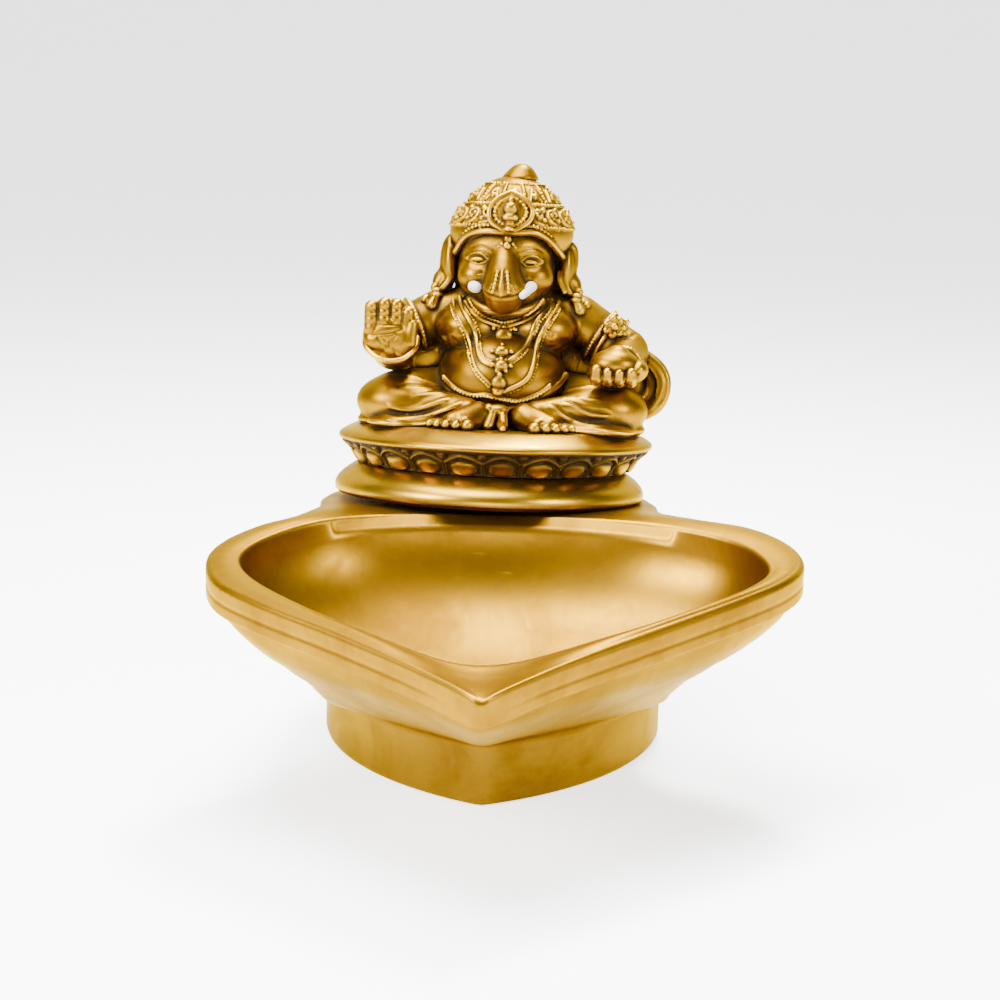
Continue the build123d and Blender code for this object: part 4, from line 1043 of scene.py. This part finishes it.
r_bangle = Clay("right_bangle", (-23, -18, 19), (-10.5, -6, 29))
r_bangle.tube([(-20.9, -11.6, 26.0), (-20.6, -14.2, 24.3), (-18.9, -15.6, 22.9), (-16.9, -16.0, 22.3),
               (-14.6, -15.7, 22.7), (-12.8, -14.2, 24.4), (-12.6, -11.6, 26.0)], 0.45, 0)
r_bangle.beads([(-20.9, -13.6, 24.9), (-19.4, -15.5, 23.3), (-16.9, -16.3, 22.5), (-14.2, -15.6, 23.1),
                (-12.6, -13.8, 25.0)], 0.28, 0.56)
l_bangle = Clay("left_bangle", (15.5, -13, 17), (26, -4, 28))
hoop(l_bangle, (20.7, -8.3, 22.7), (0.15, 1, 0.2), 2.95, 0.5, 0.26)
r_band = Clay("right_arm_band", (-20, -8, 21), (-7, 8, 34))
hoop(r_band, (-13.4, 0.8, 27.8), (-0.9, -0.2, -0.4), 4.15, 0.55, 0.3)
l_band = Clay("left_arm_band", (10.5, -7, 20), (24, 9, 34))
hoop(l_band, (17.2, 1.0, 27.2), (8, -1.4, -4.8), 4.35, 0.5, 0.3)
hoop(l_band, (18.2, 0.85, 26.6), (8, -1.4, -4.8), 4.25, 0.4, 0.0)
flower = Clay("arm_flower", (15.5, -8.5, 24.5), (24, 0, 33))
fc = np.array((19.3, -3.7, 28.9))
flower.egg(fc + (0, -0.3, 0), (0.75, 0.7, 0.75), 0)
for i in range(7):
    a = 2 * math.pi * i / 7
    flower.egg(fc + (1.3 * math.cos(a), 0.25 * math.cos(a), 1.3 * math.sin(a)), (0.72, 0.55, 0.72), 0.12)
for i in range(5):
    a = 2 * math.pi * i / 5 + 0.5
    flower.egg(fc + (1.7 * math.cos(a) + 0.4, 0.7, 1.7 * math.sin(a)), (0.7, 0.6, 0.7), 0.15)

# ---------------------------------------------------------------- how hidden each point is
# The share of metal round a point, near and wide: over a half in the hollows, under a half on the edges.
G_LO = np.floor(np.array((-27.5, -27.5, 4)) / H).astype(int)
G_HI = np.ceil(np.array((32, 28, 57)) / H).astype(int)
full = np.full(G_HI - G_LO, 4.0, np.float32)
for c in ALL:
    lo, hi = np.maximum(c.i0, G_LO), np.minimum(c.i0 + c.n, G_HI)
    a = tuple(slice(lo[k] - G_LO[k], hi[k] - G_LO[k]) for k in range(3))
    b = tuple(slice(lo[k] - c.i0[k], hi[k] - c.i0[k]) for k in range(3))
    full[a] = np.minimum(full[a], c.d[b])
gx, gy, gz = [(np.arange(G_LO[k], G_HI[k]) * H).astype(np.float32) for k in range(3)]
disc = np.sqrt((gx[:, None] - SEAT_MID) ** 2 + gy[None, :] ** 2)[:, :, None]
top = 12.0 - np.clip(disc - 21.5, 0, 5) * 0.47
seat_d = np.maximum(gz[None, None, :] - top, disc - 26.0)
full = np.minimum(full, seat_d)
solid = np.clip(0.5 - full / (2 * H), 0, 1).astype(np.float32)


def box_blur(a, r):
    """A running mean over a cube of half-width r cells."""
    for axis in (0, 1, 2):
        pad = [(0, 0)] * 3
        pad[axis] = (r + 1, r)
        c = np.cumsum(np.pad(a, pad, mode="edge"), axis=axis, dtype=np.float32)
        n = a.shape[axis]
        hi = [slice(None)] * 3
        lo = [slice(None)] * 3
        hi[axis], lo[axis] = slice(2 * r + 1, 2 * r + 1 + n), slice(0, n)
        a = (c[tuple(hi)] - c[tuple(lo)]) / (2 * r + 1)
    return a


near_metal = box_blur(box_blur(solid, max(1, round(0.38 / H))), max(1, round(0.25 / H)))
wide_metal = box_blur(box_blur(solid, max(1, round(1.1 / H))), max(1, round(0.8 / H)))
del solid, full


def shade_data(ob, seat_points):
    """Store how hidden each point is on a mesh, as plain numbers its material reads."""
    g = np.clip(np.asarray(seat_points) / H - G_LO, 0, np.array(near_metal.shape) - 1.001)
    i = np.floor(g).astype(int)
    f = g - i
    for name, field in (("recess", near_metal), ("shelter", wide_metal)):
        value = np.zeros(len(g))
        for a, b, c in ((a, b, c) for a in (0, 1) for b in (0, 1) for c in (0, 1)):
            part = np.abs(1 - a - f[:, 0]) * np.abs(1 - b - f[:, 1]) * np.abs(1 - c - f[:, 2])
            value += part * field[i[:, 0] + a, i[:, 1] + b, i[:, 2] + c]
        at = ob.data.attributes.new(name, "FLOAT", "POINT")
        at.data.foreach_set("value", value.astype(np.float32))


def cast(clay, nodes, material):
    """Turn a clay into its finished piece."""
    p, tris, quads = clay.fatten()
    faces = [f for f in (tris, quads) if len(f)]
    first = faces[0]
    v = p[first[:, :3]]
    n = np.cross(v[:, 1] - v[:, 0], v[:, 2] - v[:, 0])
    n = n / np.maximum(np.linalg.norm(n, axis=1), 1e-9)[:, None]
    beyond = np.clip(np.round((v.mean(1) + n * 1.2 * H) / H).astype(int) - clay.i0, 0, clay.n - 1)
    outward = clay.d[beyond[:, 0], beyond[:, 1], beyond[:, 2]].mean() > 0
    me = bpy.data.meshes.new(clay.name)
    w = seat_to_world(p) * MM
    me.vertices.add(len(w))
    me.vertices.foreach_set("co", w.ravel())
    loops = np.concatenate([(f if outward else f[:, ::-1]).ravel() for f in faces])
    sizes = np.concatenate([np.full(len(f), f.shape[1]) for f in faces])
    me.loops.add(len(loops))
    me.loops.foreach_set("vertex_index", loops.astype(np.int32))
    me.polygons.add(len(sizes))
    me.polygons.foreach_set("loop_start", np.concatenate([[0], np.cumsum(sizes)[:-1]]).astype(np.int32))
    me.polygons.foreach_set("use_smooth", np.ones(len(sizes), bool))
    me.update(calc_edges=True)
    me.validate()
    ob = bpy.data.objects.new(clay.name, me)
    sc.collection.objects.link(ob)
    shade_data(ob, p)
    return dress(ob, material, nodes)


def antique_brass(name, bright, body_tone, dark, rough=0.29, patina=1.0, grit=0.35):
    """Polished cast brass: bright on the high points, brown-black patina and pale dust in the hollows."""
    m, t, p = new_material(name)
    near_a = add(t, "Attribute", attribute_name="recess")
    wide_a = add(t, "Attribute", attribute_name="shelter")
    stain = use(t, TARNISH, Scale=2.4)
    grain = use(t, CASTING, Scale=1.0)
    sheltered = maths(t, "MULTIPLY", maths(t, "SUBTRACT", wide_a.outputs["Fac"], 0.5), 0.75)
    cloudy = maths(t, "MULTIPLY", maths(t, "SUBTRACT", stain.outputs["Clouds"], 0.5), 0.05)
    hidden = maths(t, "ADD", maths(t, "ADD", near_a.outputs["Fac"], sheltered), cloudy)
    deep = ramp(t, hidden, 0.55, 0.73)
    soft = ramp(t, hidden, 0.44, 0.62)
    high = ramp(t, near_a.outputs["Fac"], 0.47, 0.32)
    colour = mix(t, (*body_tone, 1), (*[c * 0.7 for c in body_tone], 1),
                 maths(t, "MULTIPLY", stain.outputs["Clouds"], 0.6))
    colour = mix(t, colour, (*bright, 1), maths(t, "MULTIPLY", high, 0.85))
    colour = mix(t, colour, (*[c * 0.42 for c in body_tone], 1), maths(t, "MULTIPLY", soft, 0.85 * patina))
    colour = mix(t, colour, (*dark, 1), maths(t, "MULTIPLY", deep, patina))
    dust = maths(t, "MULTIPLY", ramp(t, grain.outputs["Grain"], 0.56, 0.68), ramp(t, hidden, 0.74, 0.95))
    colour = mix(t, colour, (0.26, 0.20, 0.11, 1), maths(t, "MULTIPLY", dust, 0.5))
    colour = mix(t, colour, (0.12, 0.06, 0.02, 1), maths(t, "MULTIPLY", stain.outputs["Spots"], 0.35))
    t.links.new(colour, p.inputs["Base Color"])
    t.links.new(maths(t, "SUBTRACT", 1.0, maths(t, "MULTIPLY", deep, 0.6 * patina)), p.inputs["Metallic"])
    p.inputs["Specular Tint"].default_value = BRASS_GLINT
    r = maths(t, "ADD", maths(t, "MULTIPLY", deep, 0.35), rough)
    r = maths(t, "ADD", r, maths(t, "MULTIPLY", stain.outputs["Clouds"], 0.10))
    t.links.new(maths(t, "ADD", r, maths(t, "MULTIPLY", grain.outputs["Grain"], 0.06)), p.inputs["Roughness"])
    b = add(t, "Bump", Strength=grit, Distance=0.00006)
    t.links.new(grain.outputs["Height"], b.inputs["Height"])
    t.links.new(b.outputs[0], p.inputs["Normal"])
    return m


BRIGHT, TONE, DARK = (0.50, 0.285, 0.012), (0.205, 0.098, 0.0006), (0.010, 0.004, 0.0005)
skin = antique_brass("figure brass", BRIGHT, TONE, DARK)
jewel = antique_brass("jewel brass", (0.56, 0.33, 0.02), (0.20, 0.094, 0.0006), DARK, 0.28, 1.0, 0.3)
cloth = antique_brass("cloth brass", (0.52, 0.30, 0.015), (0.21, 0.10, 0.0006), DARK, 0.31)

ivory, it, ip = new_material("ivory enamel")
ig = use(it, CASTING, Scale=1.4)
ist = use(it, TARNISH, Scale=5.0)
it.links.new(mix(it, (0.60, 0.57, 0.51, 1), (0.42, 0.34, 0.24, 1),
                 maths(it, "MULTIPLY", ist.outputs["Clouds"], 0.35)), ip.inputs["Base Color"])
ip.inputs["Roughness"].default_value = 0.32
ib = add(it, "Bump", Strength=0.2, Distance=0.00005)
it.links.new(ig.outputs["Height"], ib.inputs["Height"])
it.links.new(ib.outputs[0], ip.inputs["Normal"])

for finish, slot, pieces in (
    (skin, "figure_brass", ((body, "torso", "belly"), (r_arm, "right_upper_arm", "right_forearm"),
                            (l_arm, "left_upper_arm", "left_forearm"), (palm, "raised_hand"),
                            (cup, "resting_hand"), (sweet, "sweet_ball"))),
    (cloth, "figure_brass", ((r_leg, "right_leg"), (l_leg, "left_leg"))),
    (skin, "figure_brass", ((feet[-1], "right_foot"), (feet[1], "left_foot"))),
    (cloth, "figure_brass", ((sash, "waist_sash"), (scarf, "scarf"))),
    (skin, "figure_brass", ((head, "head"), (trunk, "trunk"), (eye_clays[0], "right_eye"),
                            (eye_clays[1], "left_eye"))),
    (ivory, "ivory_enamel", ((tusks[0], "right_tusk"), (tusks[1], "left_tusk"))),
    (skin, "figure_brass", ((ears[-1], "right_ear"), (ears[1], "left_ear"))),
    (jewel, "jewel_brass", ((drops[-1], "right_earring"), (drops[1], "left_earring"), (dome, "crown_dome"),
                            (band, "crown_band"), (crest, "crown_crest"), (bud, "finial"),
                            (brow_drop, "forehead_drop"), (collar, "collar_necklace"),
                            (r_cord, "right_neck_cord"), (l_cord, "left_neck_cord"), (pend, "pendant_chain"),
                            (chain, "belly_chain"), (r_bangle, "right_bracelet"), (l_bangle, "left_bracelet"),
                            (r_band, "right_armlet"), (l_band, "left_armlet"), (flower, "armlet_rosette")))):
    for clay, *nodes in pieces:
        cast(clay, nodes, finish)

# ================================================================ lotus seat
# Round seat, 52 mm across: smooth flat top, sloping polished edge, and below it a cone of 24 petals, each
# a smooth pad under a raised pointed arch, with small tips between and dark metal in the gaps.
prof = [(0.4, 5.1), (12, 5.1), (21.6, 5.1), (22.0, 5.3), (24.3, 8.3), (24.9, 8.75), (25.5, 8.82),
        (25.85, 9.0), (26.0, 9.3),
        (25.98, 9.6), (25.8, 9.9), (25.5, 10.12)]
prof += [(25.5 - 3.6 * w, 10.12 + 1.75 * w**0.85) for w in np.linspace(0.08, 1, 12)]
prof += [(21.6, 11.95), (21.2, 12.0)] + [(r, 12.0) for r in np.arange(20.8, 0.5, -0.45)]
n_round = 480
seat = round_stack("lotus_seat_disc", prof, n_round, SEAT_MID)
sp = (np.array([v.co for v in seat.data.vertices]) / MM - np.array(SEAT_O)) @ SR
shade_data(seat, sp)
dress(seat, antique_brass("seat brass", (0.50, 0.29, 0.018), (0.25, 0.128, 0.0015), DARK, 0.27, 0.9),
      ["lotus_seat"])


def petal_relief(u, v):
    """Height of the petal band: u across one petal from -1 to 1, v up the cone from 0 to 1."""
    au = np.abs(u)
    pad = np.clip(1 - (au / 0.74) ** 2.4 - (np.abs(v - 0.34) / 0.33) ** 2.4, 0, 1) ** 0.5
    arch = 0.93 - 0.36 * au**1.5
    ridge = np.exp(-(((v - arch) / 0.075) ** 2)) * (au < 0.99)
    side = np.exp(-(((au - 0.93 + 0.10 * (v - 0.4) ** 2) / 0.07) ** 2)) * (v < 0.62) * (v > 0.05)
    tip = np.clip(1 - ((1 - au) / 0.26) ** 2 - ((v - 0.88) / 0.16) ** 2, 0, 1) ** 0.5
    return 0.95 * pad + 0.62 * np.maximum(ridge, 0.75 * side) + 0.55 * tip - 0.12


PETALS = 24
n_col, n_row = PETALS * 44, 46
a = np.linspace(0, 2 * math.pi, n_col, endpoint=False)
cell = (a / (2 * math.pi) * PETALS + 0.31) % 1.0 * 2 - 1
index = np.floor(a / (2 * math.pi) * PETALS + 0.31)
vary = 1 + 0.10 * np.sin(index * 2.7) + 0.06 * np.sin(index * 5.1 + 1)
rows_, relief_ = [], []
for v in np.linspace(0, 1, n_row):
    h = petal_relief(cell * (1 + 0.05 * np.sin(index * 3.3)), v) * vary
    h = h * np.clip(v / 0.06, 0, 1) * np.clip((1 - v) / 0.03, 0, 1)
    r = 22.15 + 3.15 * v - 0.5 * math.sin(math.pi * v) + h * 0.80
    z = 5.15 + 3.62 * v - h * 0.55
    rows_.append(seat_to_world(np.stack([SEAT_MID + r * np.cos(a), r * np.sin(a), z], 1)))
    relief_.append(h)
petals = ringed("lotus_petal_band", rows_, False, False)
hide = np.concatenate(relief_)
for name, value in (("recess", 0.80 - 0.52 * np.clip(hide, 0, 1)), ("shelter", np.full(len(hide), 0.52))):
    at = petals.data.attributes.new(name, "FLOAT", "POINT")
    at.data.foreach_set("value", value.astype(np.float32))
dress(petals, antique_brass("petal brass", (0.46, 0.26, 0.01), (0.19, 0.09, 0.0006), DARK, 0.28),
      ["lotus_petals"])

# ================================================================ clamp screw and washer
# A plain steel M4 screw driven up from the foot's hollow, with a turned brass washer under its head. Both
# keep the frame's own shapes and only take a finish.
def turned(name, light, deep, rough):
    """Machined metal: fine turning lines, faint stains and a dull film."""
    m, t, p = new_material(name)
    lines = use(t, BRUSHED, Stretch=(0.2, 0.2, 3.0))
    stain = use(t, TARNISH, Scale=6.0)
    t.links.new(mix(t, (*light, 1), (*deep, 1), stain.outputs["Clouds"]), p.inputs["Base Color"])
    t.links.new(maths(t, "ADD", maths(t, "MULTIPLY", lines.outputs["Lines"], 0.14), rough),
                p.inputs["Roughness"])
    p.inputs["Metallic"].default_value = 1.0
    b = add(t, "Bump", Strength=0.3, Distance=0.00004)
    t.links.new(lines.outputs["Height"], b.inputs["Height"])
    t.links.new(b.outputs[0], p.inputs["Normal"])
    return m


for node, finish in (("clamp_screw", turned("screw steel", (0.42, 0.43, 0.44), (0.24, 0.24, 0.25), 0.30)),
                     ("screw_washer", turned("washer brass", (0.36, 0.20, 0.010), (0.22, 0.11, 0.003),
                                             0.32))):
    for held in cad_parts[node].material_slots:
        held.material = finish

# ================================================================ floor
# A plain white sheet that lies flat under the lamp and curves up behind it. It gives off a little light of
# its own, which keeps it pale.
COLS = 25
sweep = [(y, 0.0) for y in np.linspace(-3, 0.9, 24)]
sweep += [(0.9 + 1.1 * math.sin(t), 1.1 - 1.1 * math.cos(t))
          for t in np.linspace(0.08, math.pi / 2, 24)] + [(2.0, 3.0)]
across = np.linspace(-3, 3, COLS)
sheet = [(x / MM, y / MM, z / MM) for y, z in sweep for x in across]
quads = [(r * COLS + c, r * COLS + c + 1, (r + 1) * COLS + c + 1, (r + 1) * COLS + c)
         for r in range(len(sweep) - 1) for c in range(COLS - 1)]
floor = mesh_object("studio_floor", sheet, quads)
fm, _, fp = new_material("studio white")
fp.inputs["Base Color"].default_value = (0.93, 0.93, 0.93, 1)
fp.inputs["Roughness"].default_value = 0.9
fp.inputs["Specular IOR Level"].default_value = 0.0
fp.inputs["Emission Color"].default_value = (1, 1, 1, 1)
fp.inputs["Emission Strength"].default_value = 1.9
floor.data.materials.append(fm)
